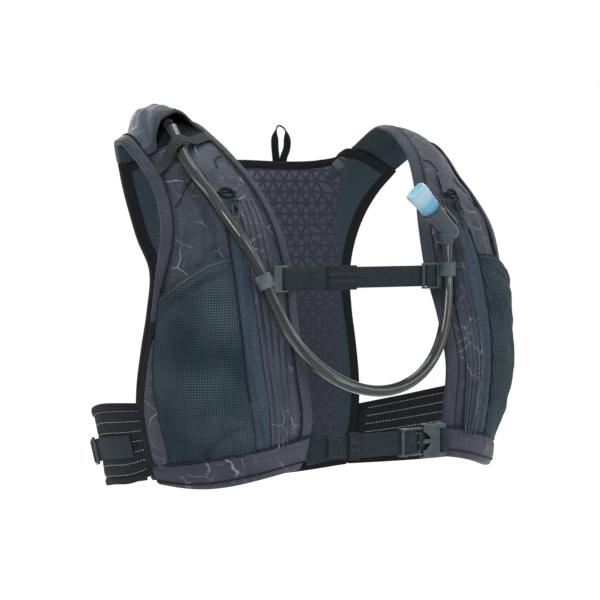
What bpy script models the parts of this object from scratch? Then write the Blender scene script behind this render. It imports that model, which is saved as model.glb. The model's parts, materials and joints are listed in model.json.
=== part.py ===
"""Vest-style hydration pack: two front panels over the shoulders, a padded back with a
bladder compartment, elastic side wings, sternum and waist straps, and a drinking tube.

Frame: metres. X is the wearer's left, the wearer faces -Y, Z is up.  The origin is on the
centre plane, in the middle of the torso space, level with the lower hem.
All the working dimensions below are in millimetres.
"""
import math
import bpy
import bmesh
import numpy as np
from mathutils import Matrix, Vector

for o in list(bpy.data.objects):
    bpy.data.objects.remove(o, do_unlink=True)

MM = 0.001
GAP = 0.35                # clearance kept between touching pieces
PANEL_T = 8.0             # padded front panel and shoulder strap
BACK_T = 8.0              # padded back panel
BIND_T = 1.5              # sewn binding tape
WEB_T = 1.4               # nylon webbing
STERNUM_W = 20.0          # sternum webbing width
WAIST_W = 22.0            # waist webbing width
SIDE_W = 22.0             # side adjuster webbing width
TUBE_D = 11.0             # drinking tube outside diameter
POCKET_DEPTH = 12.0       # how far the open mesh pockets stand off the panel
COMPARTMENT_Y = 158.0     # outer face of the bladder compartment
HEM_SAG = 7.0             # extra drop of the front hem

# one side, front hem to shoulder seam: inner edge, outer edge, crown of the panel
STATIONS = [
    ((86, -121, 42), (194, -45, 28), 20),
    ((79, -124, 64), (203, -43, 55), 22),
    ((78, -128, 90), (209, -41, 88), 24),
    ((83, -126, 130), (210, -46, 127), 24),
    ((83, -113, 173), (207, -56, 168), 22),
    ((79, -95, 224), (200, -57, 222), 18),
    ((83, -79, 266), (192, -53, 262), 16),
    ((94, -57, 304), (186, -31, 294), 14),
    ((105, -31, 332), (184, -10, 313), 12),
    ((111, -6, 350), (187, 14, 333), 10),
    ((114, 20, 363), (188, 34, 345), 8),
    ((117, 45, 365), (184, 53, 345), 7),
    ((117, 68, 355), (175, 69, 336), 5),
    ((113, 83, 344), (166, 81, 324), 3),
]
# back panel: half of the neck hem, the armhole edge and the lower hem
NECK = [(0, 121, 331), (58, 119, 330), (92, 113, 332), (108, 100, 336), (113, 83, 344), (166, 81, 324)]
ARM = [(166, 81, 324), (154, 95, 303), (142, 104, 278), (131, 107, 250), (121, 102, 222), (123, 103, 177),
       (129, 104, 140), (134, 105, 98), (134, 105, 72), (127, 104, 38), (118, 103, 8)]
LOWHEM = [(0, 116, 2), (60, 112, 3), (118, 103, 8)]
# side wing: upper and lower edge, from the front panel round to the back panel
WING_TOP = [(201, -30, 99), (212, -8, 98), (216, 24, 95), (206, 60, 87), (180, 89, 78), (142, 103, 71)]
WING_LOW = [(189, -28, 33), (199, -8, 24), (201, 24, 19), (190, 60, 13), (166, 89, 9), (132, 102, 8)]
# zip: middle line of the front zip on the panel, as (u, v)
ZIP_UV = [(0.265, 0.055), (0.30, 0.15), (0.33, 0.25), (0.362, 0.35), (0.392, 0.45), (0.402, 0.52), (0.395, 0.60)]
# drinking tube: where it lies on the right panel, as (u, v, height of its middle), then free in the air
TUBE_ON_PANEL = [(0.47, 0.800, 8.4), (0.53, 0.752, 7.8), (0.589, 0.704, 7.6), (0.605, 0.639, 7.8), (0.566, 0.591, 8.4),
                 (0.513, 0.540, 11.0), (0.423, 0.493, 14.0)]
TUBE_FREE = [(-127.2, -114.2, 228.6), (-121.3, -118.5, 213.2), (-114.7, -124.6, 193.2), (-102.5, -134, 164), (-77, -141, 136),
             (-46, -146, 118), (-18.6, -147, 111.5), (11.5, -145, 113.5), (44, -139, 127.5), (67.5, -131.5, 150.5),
             (81.5, -124, 183), (86.5, -119, 203), (88.0, -116.6, 223.6), (87.4, -116.6, 236), (86.8, -117, 247.5)]
# hose under the rear cover, as (u, w, height of its middle) on the back panel, then over the shoulder
HOSE_ON_BACK = [(0.185, 0.78, 8.0), (0.185, 0.60, 8.0), (0.185, 0.42, 8.0), (0.18, 0.28, 7.6), (0.155, 0.17, 7.4), (0.115, 0.09, 7.4),
                (0.082, 0.035, 7.6)]
HOSE_ON_STRAP = [(0.47, 0.975, 7.6), (0.47, 0.93, 7.6), (0.47, 0.87, 7.8), (0.47, 0.812, 8.2)]


# ------------------------------------------------------------------ curves and surfaces
class Path:
    """Smooth curve through points, read by the fraction of its length."""

    def __init__(self, pts, ts=None):
        self.p = np.array(pts, float)
        if ts is None:
            d = np.linalg.norm(np.diff(self.p, axis=0), axis=1)
            ts = np.r_[0, np.cumsum(d)] / d.sum()
        self.t = np.array(ts, float)
        n = len(self.p)
        m = np.zeros_like(self.p)
        for i in range(n):
            if i == 0:
                m[i] = (self.p[1] - self.p[0]) / (self.t[1] - self.t[0])
            elif i == n - 1:
                m[i] = (self.p[-1] - self.p[-2]) / (self.t[-1] - self.t[-2])
            else:
                a, b = self.t[i] - self.t[i - 1], self.t[i + 1] - self.t[i]
                m[i] = ((self.p[i] - self.p[i - 1]) / a * b + (self.p[i + 1] - self.p[i]) / b * a) / (a + b)
        self.m = m

    def __call__(self, t):
        t = min(max(float(t), 0.0), 1.0)
        i = int(np.searchsorted(self.t, t, side="right") - 1)
        i = min(max(i, 0), len(self.t) - 2)
        h = self.t[i + 1] - self.t[i]
        s = (t - self.t[i]) / h
        return ((2 * s**3 - 3 * s**2 + 1) * self.p[i] + (s**3 - 2 * s**2 + s) * h * self.m[i]
                + (-2 * s**3 + 3 * s**2) * self.p[i + 1] + (s**3 - s**2) * h * self.m[i + 1])


def unit(a):
    a = np.array(a, float)
    return a / np.linalg.norm(a)


def clamp(x, a=0.0, b=1.0):
    return min(max(x, a), b)


def smooth(x, a, b):
    t = clamp((x - a) / (b - a))
    return t * t * (3 - 2 * t)


_mid = [0.5 * (np.array(a, float) + np.array(b, float)) for a, b, c in STATIONS]
_d = np.linalg.norm(np.diff(_mid, axis=0), axis=1)
V_AT = np.r_[0, np.cumsum(_d)] / _d.sum()
PANEL_LEN = float(_d.sum())
E_IN = Path([s[0] for s in STATIONS], V_AT)
E_OUT = Path([s[1] for s in STATIONS], V_AT)
CROWN = Path([(s[2],) for s in STATIONS], V_AT)


def front_plain(u, v):
    """Outer face of a front panel: u from the inner to the outer edge, v from the hem to the seam."""
    a, b = E_IN(v), E_OUT(v)
    r = b - a
    w = 0.01
    hi, lo = min(v + w, 1), max(v - w, 0)
    t = (E_IN(hi) + E_OUT(hi)) - (E_IN(lo) + E_OUT(lo))
    n = unit(np.cross(r, t))
    uu = clamp(u)
    p = a + r * u + n * CROWN(v)[0] * math.sin(math.pi * uu**0.8)
    p[2] -= HEM_SAG * math.sin(math.pi * uu**1.4) * max(0.0, 1 - v / 0.12) ** 2
    return p


_half = [np.array(p, float) for p in NECK]
_hem = [p * (-1, 1, 1) for p in _half[::-1]] + _half[1:]
HEM_PATH = Path(_hem)
ARM_PATH = Path(ARM)
_low = [np.array(p, float) for p in LOWHEM]
LOW_PATH = Path([p * (-1, 1, 1) for p in _low[::-1]] + _low[1:])
P00, P10 = HEM_PATH(0), HEM_PATH(1)
P01, P11 = LOW_PATH(0), LOW_PATH(1)


def back(u, w):
    """Rear face of the back panel: u from -X to +X, w from the neck hem down."""
    t, b = HEM_PATH(u), LOW_PATH(u)
    r = ARM_PATH(w)
    l = r * (-1, 1, 1)
    p = ((1 - w) * t + w * b + (1 - u) * l + u * r
         - ((1 - u) * (1 - w) * P00 + u * (1 - w) * P10 + (1 - u) * w * P01 + u * w * P11))
    mid = HEM_PATH(0.5)[1] * (1 - w) + LOW_PATH(0.5)[1] * w
    g = (t[1] - P00[1]) / (HEM_PATH(0.5)[1] - P00[1])
    s = smooth(w, 0.0, 0.22)
    p[1] = r[1] + (mid - r[1]) * ((1 - s) * g + s * (1 - (2 * u - 1) ** 2))
    return p


WT, WL = Path(WING_TOP), Path(WING_LOW)


def wing(u, v):
    """Outer face of a side wing: u from the front to the back, v from the lower to the upper edge."""
    return WL(u) * (1 - v) + WT(u) * v


def surf(fn, u, v, off=0.0, e=0.004):
    u0, u1 = max(u - e, 0.0), min(u + e, 1.0)
    v0, v1 = max(v - e, 0.0), min(v + e, 1.0)
    n = unit(np.cross(fn(u1, v) - fn(u0, v), fn(u, v1) - fn(u, v0)))
    return fn(u, v) + n * off


def line_uv(table, v):
    vs = [q[1] for q in table]
    return float(np.interp(v, vs, [q[0] for q in table]))


def frange(a, b, n):
    return [a + (b - a) * i / (n - 1) for i in range(n)]


# The front zip's slider runs on a circular arc, so the panel is shaped to follow that arc along the zip.
zip_vs = frange(0.06, 0.598, 24)
zip_raw = np.array([surf(front_plain, line_uv(ZIP_UV, v), v, 0.0) for v in zip_vs])
zc = zip_raw.mean(0)
_, _, vt = np.linalg.svd(zip_raw - zc)
ZIP_N = vt[2] if vt[2][0] > 0 else -vt[2]              # across the zip: the hinge axis of the slider's arc, left side
ea, eb = vt[0], vt[1]
xy = np.stack([(zip_raw - zc) @ ea, (zip_raw - zc) @ eb], 1)
sol = np.linalg.lstsq(np.c_[2 * xy, np.ones(len(xy))], (xy**2).sum(1), rcond=None)[0]
ZIP_C = zc + ea * sol[0] + eb * sol[1]                 # centre of the arc
ZIP_R = math.sqrt(sol[2] + sol[0] ** 2 + sol[1] ** 2)


def off_arc(p):
    q = p - ZIP_C
    return float(np.linalg.norm(q - ZIP_N * (q @ ZIP_N)) - ZIP_R)


ARC_FIX = Path([(-off_arc(p),) for p in zip_raw], (np.array(zip_vs) - zip_vs[0]) / (zip_vs[-1] - zip_vs[0]))


def front(u, v):
    """Outer face of a front panel, with the zip line brought on to its arc."""
    p = front_plain(u, v)
    t = (v - zip_vs[0]) / (zip_vs[-1] - zip_vs[0])
    k = ARC_FIX(t)[0] * smooth(v, -0.05, 0.06) * (1 - smooth(v, 0.60, 0.74))
    x = (u - line_uv(ZIP_UV, v)) / 0.24
    q = p - ZIP_C
    q = unit(q - ZIP_N * (q @ ZIP_N))
    return p + q * k * math.exp(-x * x)


zip_pts = np.array([surf(front, line_uv(ZIP_UV, v), v, 0.0) for v in zip_vs])
dev = [off_arc(p) for p in zip_pts]


# ------------------------------------------------------------------ object helpers
MATS = {}


def material(slot, rgb, rough, metal=0.0, alpha=1.0):
    m = bpy.data.materials.new(slot)
    m.use_nodes = True
    b = m.node_tree.nodes["Principled BSDF"]
    b.inputs["Base Color"].default_value = (*rgb, 1)
    b.inputs["Roughness"].default_value = rough
    b.inputs["Metallic"].default_value = metal
    b.inputs["Alpha"].default_value = alpha
    MATS[slot] = m


material("shell_fabric", (0.055, 0.053, 0.068), 0.75)
material("padded_mesh", (0.060, 0.060, 0.068), 0.9)
material("pocket_mesh", (0.025, 0.045, 0.052), 0.9)
material("zip_tape", (0.040, 0.062, 0.092), 0.7)
material("binding", (0.020, 0.020, 0.025), 0.8)
material("elastic", (0.018, 0.018, 0.022), 0.85)
material("webbing", (0.045, 0.053, 0.053), 0.8)
material("buckle_plastic", (0.040, 0.055, 0.063), 0.42)
material("zip_metal", (0.030, 0.032, 0.036), 0.4, 0.4)
material("cord", (0.05, 0.055, 0.055), 0.8)
material("tube", (0.30, 0.32, 0.33), 0.15, 0.0, 0.5)
material("valve_body", (0.035, 0.045, 0.052), 0.45)
material("bite_silicone", (0.40, 0.72, 0.85), 0.35, 0.0, 0.8)
material("bladder_film", (0.55, 0.68, 0.75), 0.3, 0.0, 0.6)


def finish(name, bm, slot, origin=None):
    bmesh.ops.recalc_face_normals(bm, faces=bm.faces)
    if bm.calc_volume(signed=True) < 0:
        bmesh.ops.reverse_faces(bm, faces=bm.faces)
    me = bpy.data.meshes.new(name)
    bm.to_mesh(me)
    bm.free()
    ob = bpy.data.objects.new(name, me)
    bpy.context.scene.collection.objects.link(ob)
    me.materials.append(MATS[slot])
    me.shade_smooth()
    me.set_sharp_from_angle(angle=math.radians(35))
    if origin is not None:
        o = Vector([c * MM for c in origin])
        me.transform(Matrix.Translation(-o))
        ob.location = o
    return ob


def grid_solid(name, slot, top, bottom, origin=None):
    """Closed solid between two grids of points (rows x columns)."""
    bm = bmesh.new()
    nr, nc = len(top), len(top[0])
    A = [[bm.verts.new([c * MM for c in p]) for p in row] for row in top]
    B = [[bm.verts.new([c * MM for c in p]) for p in row] for row in bottom]
    for i in range(nr - 1):
        for j in range(nc - 1):
            bm.faces.new((A[i][j], A[i][j + 1], A[i + 1][j + 1], A[i + 1][j]))
            bm.faces.new((B[i][j], B[i + 1][j], B[i + 1][j + 1], B[i][j + 1]))
    for i in range(nr - 1):
        bm.faces.new((A[i][0], A[i + 1][0], B[i + 1][0], B[i][0]))
        bm.faces.new((A[i][-1], B[i][-1], B[i + 1][-1], A[i + 1][-1]))
    for j in range(nc - 1):
        bm.faces.new((A[0][j], B[0][j], B[0][j + 1], A[0][j + 1]))
        bm.faces.new((A[-1][j], A[-1][j + 1], B[-1][j + 1], B[-1][j]))
    return finish(name, bm, slot, origin)


def slab(name, slot, fn, us, vs, top, bottom, side=1):
    """Layer lying on a surface, between two heights above it."""
    m = np.array((side, 1, 1))
    us_of = us if callable(us) else (lambda v: us)
    T = [[surf(fn, u, v, top(u, v)) * m for u in us_of(v)] for v in vs]
    B = [[surf(fn, u, v, bottom(u, v)) * m for u in us_of(v)] for v in vs]
    return grid_solid(name, slot, T, B)


def ribbon(name, slot, pts, width_dir, width, thick, side=1, thicks=None, origin=None):
    """Flat strip swept along a polyline; width_dir is one vector or one per point."""
    pts = [np.array(p, float) for p in pts]
    n = len(pts)
    wd = [unit(width_dir)] * n if np.ndim(width_dir) == 1 else [unit(w) for w in width_dir]
    T, B = [], []
    for i, p in enumerate(pts):
        a = unit(pts[i] - pts[i - 1]) if i > 0 else None
        b = unit(pts[i + 1] - pts[i]) if i < n - 1 else None
        if a is None:
            a = b
        if b is None:
            b = a
        na, nb = unit(np.cross(a, wd[i])), unit(np.cross(b, wd[i]))
        m = unit(na + nb)
        k = 1.0 / max(0.5, float(m @ na))
        h = (thicks[i] if thicks is not None else thick) / 2 * k
        w = width[i] if np.ndim(width) else width
        M = np.array((side, 1, 1))
        T.append([(p + m * h - wd[i] * w / 2) * M, (p + m * h + wd[i] * w / 2) * M])
        B.append([(p - m * h - wd[i] * w / 2) * M, (p - m * h + wd[i] * w / 2) * M])
    return grid_solid(name, slot, T, B, origin)


def box_bm(bm, lo, hi, mat=None):
    r = bmesh.ops.create_cube(bm, size=1.0)
    vs = r["verts"]
    lo, hi = np.array(lo, float), np.array(hi, float)
    for v in vs:
        c = np.array(v.co)
        p = (lo + hi) / 2 + c * (hi - lo)
        if mat is not None:
            p = mat(p)
        v.co = [x * MM for x in p]
    return vs


def solid_box(name, slot, lo, hi, bevel=0.0, mat=None, origin=None):
    bm = bmesh.new()
    box_bm(bm, lo, hi, mat)
    if bm.calc_volume(signed=True) < 0:
        bmesh.ops.reverse_faces(bm, faces=bm.faces)
    if bevel:
        bmesh.ops.bevel(bm, geom=bm.edges[:], offset=bevel * MM, segments=2, profile=0.6, affect="EDGES")
    return finish(name, bm, slot, origin)


def prism(name, slot, outline, z0, z1, place, origin=None):
    """Outline (a, b) extruded from z0 to z1; place maps (a, b, z) to the frame."""
    bm = bmesh.new()
    lo = [bm.verts.new([c * MM for c in place(a, b, z0)]) for a, b in outline]
    hi = [bm.verts.new([c * MM for c in place(a, b, z1)]) for a, b in outline]
    bm.faces.new(lo)
    bm.faces.new(hi)
    n = len(lo)
    for i in range(n):
        bm.faces.new((lo[i], lo[(i + 1) % n], hi[(i + 1) % n], hi[i]))
    bmesh.ops.triangulate(bm, faces=[f for f in bm.faces if len(f.verts) > 4])
    return finish(name, bm, slot, origin)


def apply_bool(ob, cutter, op="DIFFERENCE"):
    md = ob.modifiers.new("b", "BOOLEAN")
    md.object = cutter
    md.operation = op
    md.solver = "EXACT"
    dg = bpy.context.evaluated_depsgraph_get()
    dg.update()
    me = bpy.data.meshes.new_from_object(ob.evaluated_get(dg))
    ob.modifiers.clear()
    old = ob.data
    ob.data = me
    bpy.data.meshes.remove(old)
    bpy.data.objects.remove(cutter, do_unlink=True)
    ob.data.shade_smooth()
    ob.data.set_sharp_from_angle(angle=math.radians(35))
    return ob


def cut_box(ob, lo, hi, mat=None):
    return apply_bool(ob, solid_box("cut", "binding", lo, hi, mat=mat))


def add_box(ob, lo, hi, mat=None):
    return apply_bool(ob, solid_box("add", "binding", lo, hi, mat=mat), "UNION")


def cylinder(name, slot, p0, p1, r0, r1=None, seg=20, origin=None):
    p0, p1 = np.array(p0, float), np.array(p1, float)
    r1 = r0 if r1 is None else r1
    return turned(name, slot, p0, p1 - p0, [(0, r0), (float(np.linalg.norm(p1 - p0)), r1)], seg, origin)


def turned(name, slot, base, axis, profile, seg=20, origin=None):
    """Round piece about an axis from (distance along, radius) pairs; its ends are closed."""
    base, a = np.array(base, float), unit(axis)
    x = unit(np.cross(a, (0, 1, 0) if abs(a[1]) < 0.9 else (1, 0, 0)))
    y = np.cross(a, x)
    bm = bmesh.new()
    rings = []
    for h, r in profile:
        rings.append([bm.verts.new([c * MM for c in base + a * h + (x * math.cos(t) + y * math.sin(t)) * r])
                      for t in (2 * math.pi * k / seg for k in range(seg))])
    for i in range(len(rings) - 1):
        for k in range(seg):
            bm.faces.new((rings[i][k], rings[i][(k + 1) % seg], rings[i + 1][(k + 1) % seg], rings[i + 1][k]))
    bm.faces.new(rings[0])
    bm.faces.new(rings[-1])
    return finish(name, bm, slot, origin)


def tube_curve(name, slot, path, n, radius, t0=0.0, t1=1.0, res=3):
    cu = bpy.data.curves.new(name, "CURVE")
    cu.dimensions = "3D"
    sp = cu.splines.new("POLY")
    sp.points.add(n - 1)
    for i in range(n):
        p = path(t0 + (t1 - t0) * i / (n - 1))
        sp.points[i].co = (*[c * MM for c in p], 1)
    cu.bevel_depth = radius * MM
    cu.bevel_resolution = res
    cu.use_fill_caps = True
    ob = bpy.data.objects.new(name, cu)
    bpy.context.scene.collection.objects.link(ob)
    cu.materials.append(MATS[slot])
    return ob


SIDES = (("left", 1), ("right", -1))

# ------------------------------------------------------------------ front panels and what is sewn on them
POCKET_TOP = [(0.46, 0.462), (0.62, 0.452), (0.79, 0.424), (0.965, 0.387)]   # (u, v) of the pocket mouth
BOUND_U = 0.905


def pocket_top(u):
    return float(np.interp(u, [q[0] for q in POCKET_TOP], [q[1] for q in POCKET_TOP]))


def panel_t(u):
    return 3.0 + (PANEL_T - 3.0) * math.sin(math.pi * clamp(u)) ** 0.5


for name, s in SIDES:
    slab("front_panel_" + name, "shell_fabric", front, frange(0, 1, 10), frange(0, 0.992, 25),
         lambda u, v: 0.0, lambda u, v: -panel_t(u), s)
    slab("front_hem_" + name, "shell_fabric", front, frange(0.01, 0.97, 12), [0.001, 0.02, 0.04],
         lambda u, v: 2.2, lambda u, v: GAP, s)
    slab("armhole_binding_" + name, "binding", front, frange(BOUND_U, 1.0, 3), frange(0.47, 0.990, 18),
         lambda u, v: 0.6 + BIND_T, lambda u, v: 0.6, s)

def zip_at(a, r=0.0, x=0.0):
    """Point on the zip arc: a is the angle (radians) from the top end, r the height, x across."""
    top = zip_pts[-1] - ZIP_C
    top = unit(top - ZIP_N * (top @ ZIP_N))
    low = zip_pts[0] - ZIP_C
    low = unit(low - ZIP_N * (low @ ZIP_N))
    side = unit(low - top * (low @ top))
    d = top * math.cos(a) + side * math.sin(a)
    return ZIP_C + d * (ZIP_R + r) + ZIP_N * x, d, unit(-top * math.sin(a) + side * math.cos(a))


_t = zip_pts[-1] - ZIP_C
_b = zip_pts[0] - ZIP_C
ZIP_SPAN = math.acos(float(unit(_t) @ unit(_b)))
SL_LIFT = 0.9                                           # the slider body rides this far above the tape
ZIP_BASE = GAP                             # underside of the tape, above the arc's mean radius
SL_A = 0.030                                            # slider's rest angle along the arc
_c, _d0, _t0 = zip_at(SL_A)
tilts = []
for k, v in enumerate(zip_vs):
    q = zip_pts[k] - ZIP_C
    q = unit(q - ZIP_N * (q @ ZIP_N))
    n = unit(surf(front, line_uv(ZIP_UV, v), v, 1.0) - zip_pts[k])
    tilts.append(math.atan2(float(n @ ZIP_N), float(n @ q)))
TILT = 0.5 * (min(tilts) + max(tilts))
print("tilt deg", [round(math.degrees(x), 1) for x in tilts[::4]], "dev", round(min(dev), 2), round(max(dev), 2))
HALF_TAPE = 7.5
for name, s in SIDES:
    M = np.array((s, 1, 1))
    slab("zip_tape_" + name, "zip_tape", front,
         lambda v: [line_uv(ZIP_UV, v) + q / (float(np.linalg.norm(E_OUT(v) - E_IN(v))) * 1.03) for q in (-HALF_TAPE, -2.4, 0, 2.4, HALF_TAPE)],
         frange(0.06, 0.600, 22), lambda u, v: GAP + 1.1, lambda u, v: GAP, s)
    # slider: a low body over the tape with a bridge for the pull
    xd = ZIP_N * math.cos(TILT) - _d0 * math.sin(TILT)
    zd = _d0 * math.cos(TILT) + ZIP_N * math.sin(TILT)
    r0 = ZIP_BASE + 1.1 + SL_LIFT

    def place(p, d=zd, t=_t0, c=_c, x=xd, M=M):
        return (c + t * p[0] + x * p[1] + d * p[2]) * M
    ob = solid_box("zip_slider_" + name, "zip_metal", (-6, -4.0, r0), (6, 4.0, r0 + 2.2), 0.6, place)
    apply_bool(ob, solid_box("br", "zip_metal", (-4.5, -1.1, r0 + 1.9), (4.5, 1.1, r0 + 5.0), 0.5, place), "UNION")
    apply_bool(ob, solid_box("hole", "zip_metal", (-3.0, -3, r0 + 2.25), (3.0, 3, r0 + 3.9), 0, place))
    # pull: a loop through the bridge with a cord tail, lying down the panel
    z0 = r0 + 3.08
    pv = place((0.0, 0.0, z0))
    pl = solid_box("zip_pull_" + name, "cord", (-0.6, -3.4, z0 - 0.6), (15, 3.4, z0 + 0.6), 0.0, place)
    apply_bool(pl, solid_box("h", "cord", (0.65, -2.1, z0 - 3), (12.6, 2.1, z0 + 3), 0, place))
    apply_bool(pl, solid_box("a", "cord", (13.6, -1.3, z0 - 0.5), (27, 1.3, z0 + 0.7), 0, place), "UNION")
    if s > 0:
        print("pull pivot", pv.round(3), "axis", xd.round(5))

# open mesh pockets
PU0, PU1 = 0.465, 0.965


def pocket_us(v):
    a = line_uv([(0.395, 0.05), (0.43, 0.2), (0.455, 0.35), (0.475, 0.50)], v)
    return [a + (PU1 - a) * i / 9 for i in range(10)]


def pocket_off(u, v):
    a = line_uv([(0.395, 0.05), (0.43, 0.2), (0.455, 0.35), (0.475, 0.50)], v)
    x = clamp((u - a) / (PU1 - a))
    y = clamp((v - 0.05) / 0.40)
    return 0.4 + POCKET_DEPTH * (max(0.0, 4 * x * (1 - x)) ** 0.6) * min(1.0, (y / 0.35)) ** 0.7


for name, s in SIDES:
    m = np.array((s, 1, 1))
    T, B = [], []
    for k in range(14):
        f = k / 13
        rowT, rowB = [], []
        for j in range(10):
            # columns run from the tape to the outer edge; the rows end on the sloping mouth
            x = j / 9
            v = 0.052
            for _ in range(3):
                us = pocket_us(v)
                u = us[0] + (us[-1] - us[0]) * x
                v = 0.052 + (pocket_top(u) - 0.052) * f
            o = pocket_off(u, v)
            rowT.append(surf(front, u, v, o + 1.3) * m)
            rowB.append(surf(front, u, v, o) * m)
        T.append(rowT)
        B.append(rowB)
    grid_solid("mesh_pocket_" + name, "pocket_mesh", T, B)

# pleated gusset of the zipped pocket, between the zip tape and the inner edge
for name, s in SIDES:
    slab("pleated_gusset_" + name, "shell_fabric", front,
         lambda v: [0.03 + (line_uv(ZIP_UV, v) - 0.085 - 0.03) * i / 4 for i in range(5)], frange(0.055, 0.565, 16),
         lambda u, v: GAP + 0.9, lambda u, v: GAP, s)

# ------------------------------------------------------------------ back panel and its bindings
slab("back_panel", "padded_mesh", back, frange(0.0, 1.0, 17), frange(0.010, 1.0, 15),
     lambda u, w: 0.0, lambda u, w: -(3.0 + (BACK_T - 3.0) * (max(0.0, math.sin(math.pi * u)) ** 0.4)))
NB = 0.15
slab("neck_binding", "binding", back, frange(NB, 1 - NB, 15), [0.014, 0.026, 0.038],
     lambda u, w: -(3.0 + (BACK_T - 3.0) * math.sin(math.pi * u) ** 0.4) - 1.5,
     lambda u, w: -(3.0 + (BACK_T - 3.0) * math.sin(math.pi * u) ** 0.4) - 1.5 - BIND_T)

# side wings
for name, s in SIDES:
    slab("side_wing_" + name, "elastic", wing, frange(0.0, 1.0, 15), frange(0, 1, 6),
         lambda u, v: 1.6, lambda u, v: -1.6, s)

# ------------------------------------------------------------------ rear cover over the bladder
CX, CY, CZ = -34.0, 137.0, 44.0          # quick connector under the bladder
hose_on_back = [surf(back, u, w, h) for u, w, h in HOSE_ON_BACK]
hose_on_strap = [surf(front, u, v, h) * (-1, 1, 1) for u, v, h in HOSE_ON_STRAP]
hose = Path([(CX - 8.3, CY, CZ), (CX - 20, CY - 0.6, CZ + 0.8), (CX - 33, CY - 4.5, CZ + 9)] + [tuple(p) for p in hose_on_back + hose_on_strap])
hose_pts = np.array([hose(t) for t in frange(0.1, 1, 90)])
CU0, CU1, CW0, CW1 = 0.035, 0.965, 0.014, 0.975


def back_out(u, w):
    """Outward direction of the back panel, evened out around the corner of the neck."""
    q = np.zeros(3)
    for du_, dw_ in ((0, 0.02), (-0.05, 0.05), (0.05, 0.05), (-0.08, 0.10), (0.08, 0.10), (0, 0.12)):
        a, b = clamp(u + du_), clamp(w + dw_)
        q = q + unit(surf(back, a, b, 1.0) - surf(back, a, b, 0.0))
    return unit(q)


def cover(u, w):
    """Inner face of the rear cover: flat over the bladder, with a ridge over the hose at the shoulder."""
    p = surf(back, u, w, 0.0) + back_out(u, w) * (2.0 + 1.6 * (1 - smooth(w, 0.06, 0.2)))
    a, b = clamp((u - 0.10) / 0.80), clamp((w - 0.075) / 0.88)
    f = (max(0.0, 1 - abs(2 * a - 1) ** 5.0) ** 0.8) * (max(0.0, 1 - abs(2 * b - 1) ** 6.0) ** 0.8)
    yc = COMPARTMENT_Y - 1.5
    q = np.array((p[0], p[1] + max(0.0, yc - p[1]) * f, p[2]))
    d = np.linalg.norm(hose_pts - p, axis=1)
    k = int(np.argmin(d))
    n = back_out(u, w)
    h = float((hose_pts[k] - p) @ n)
    lat = math.sqrt(max(0.0, d[k] ** 2 - h**2))
    need = (h + TUBE_D / 2 + 4.0) * (1 - smooth(lat, 10.0, 30.0))
    cur = float((q - p) @ n)
    return q + n * max(0.0, need - cur)


us, ws = frange(CU0, CU1, 29), frange(CW0, CW1, 23)
Bc = [[cover(u, w) for u in us] for w in ws]
# thicken along the local normals of the cover itself
Q = np.array(Bc)
du = np.gradient(Q, axis=1)
dw = np.gradient(Q, axis=0)
N = np.cross(du, dw)
N /= np.linalg.norm(N, axis=2, keepdims=True)
Tc = [[Q[i, j] + N[i, j] * 1.5 for j in range(len(us))] for i in range(len(ws))]
grid_solid("rear_cover", "shell_fabric", Tc, Q.tolist())

# rear zip on the flat of the cover, near its top
RZ_Z, RZ_X = 262.0, 74.0
RZ_Y = COMPARTMENT_Y + 1.4
solid_box("rear_zip_tape", "zip_tape", (-RZ_X - 8, RZ_Y, RZ_Z - 7), (RZ_X + 8, RZ_Y + 1.2, RZ_Z + 7), 0.3)
sy = RZ_Y + 1.2 + 0.4
ob = solid_box("rear_zip_slider", "zip_metal", (-RZ_X - 6, sy, RZ_Z - 4.2), (-RZ_X + 6, sy + 2.4, RZ_Z + 4.2), 0.7)
apply_bool(ob, solid_box("br", "zip_metal", (-RZ_X - 1.1 - 1.5, sy + 2.0, RZ_Z - 3.4), (-RZ_X + 1.1 + 1.5, sy + 5.4, RZ_Z + 3.4), 0.5), "UNION")
apply_bool(ob, solid_box("hole", "zip_metal", (-RZ_X - 4, sy + 2.45, RZ_Z - 1.6), (-RZ_X + 4, sy + 4.2, RZ_Z + 1.6)))
py = sy + 3.3
rr = 0.62
pl = solid_box("rear_zip_pull", "cord", (-RZ_X - 4.4, py - 0.6, RZ_Z - 16), (-RZ_X + 4.4, py + 0.6, RZ_Z + 0.6))
cut_box(pl, (-RZ_X - 3.1, py - 3, RZ_Z - 13.6), (-RZ_X + 3.1, py + 3, RZ_Z - 0.65))
add_box(pl, (-RZ_X - 1.3, py - 0.5, RZ_Z - 34), (-RZ_X + 1.3, py + 0.7, RZ_Z - 14.5))

# rear stash pocket: mesh sheet in front of the cover's lower part, open at the top
RP_Z0, RP_Z1, RP_X = 26.0, 176.0, 82.0
T, B = [], []
for k in range(9):
    z = RP_Z0 + (RP_Z1 - RP_Z0) * k / 8
    rt, rb = [], []
    for j in range(11):
        x = -RP_X + 2 * RP_X * j / 10
        fx = max(0.0, 1 - abs(x / RP_X) ** 3) ** 0.6
        fz = min(1.0, (z - RP_Z0) / 40) ** 0.7
        y = COMPARTMENT_Y + 2.4 + 9.0 * fx * fz
        rb.append((x, y, z - 6 * (1 - (x / RP_X) ** 2) * (k / 8)))
        rt.append((x, y + 1.3, z - 6 * (1 - (x / RP_X) ** 2) * (k / 8)))
    T.append(rt)
    B.append(rb)
grid_solid("rear_mesh_pocket", "pocket_mesh", T, B)

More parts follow.
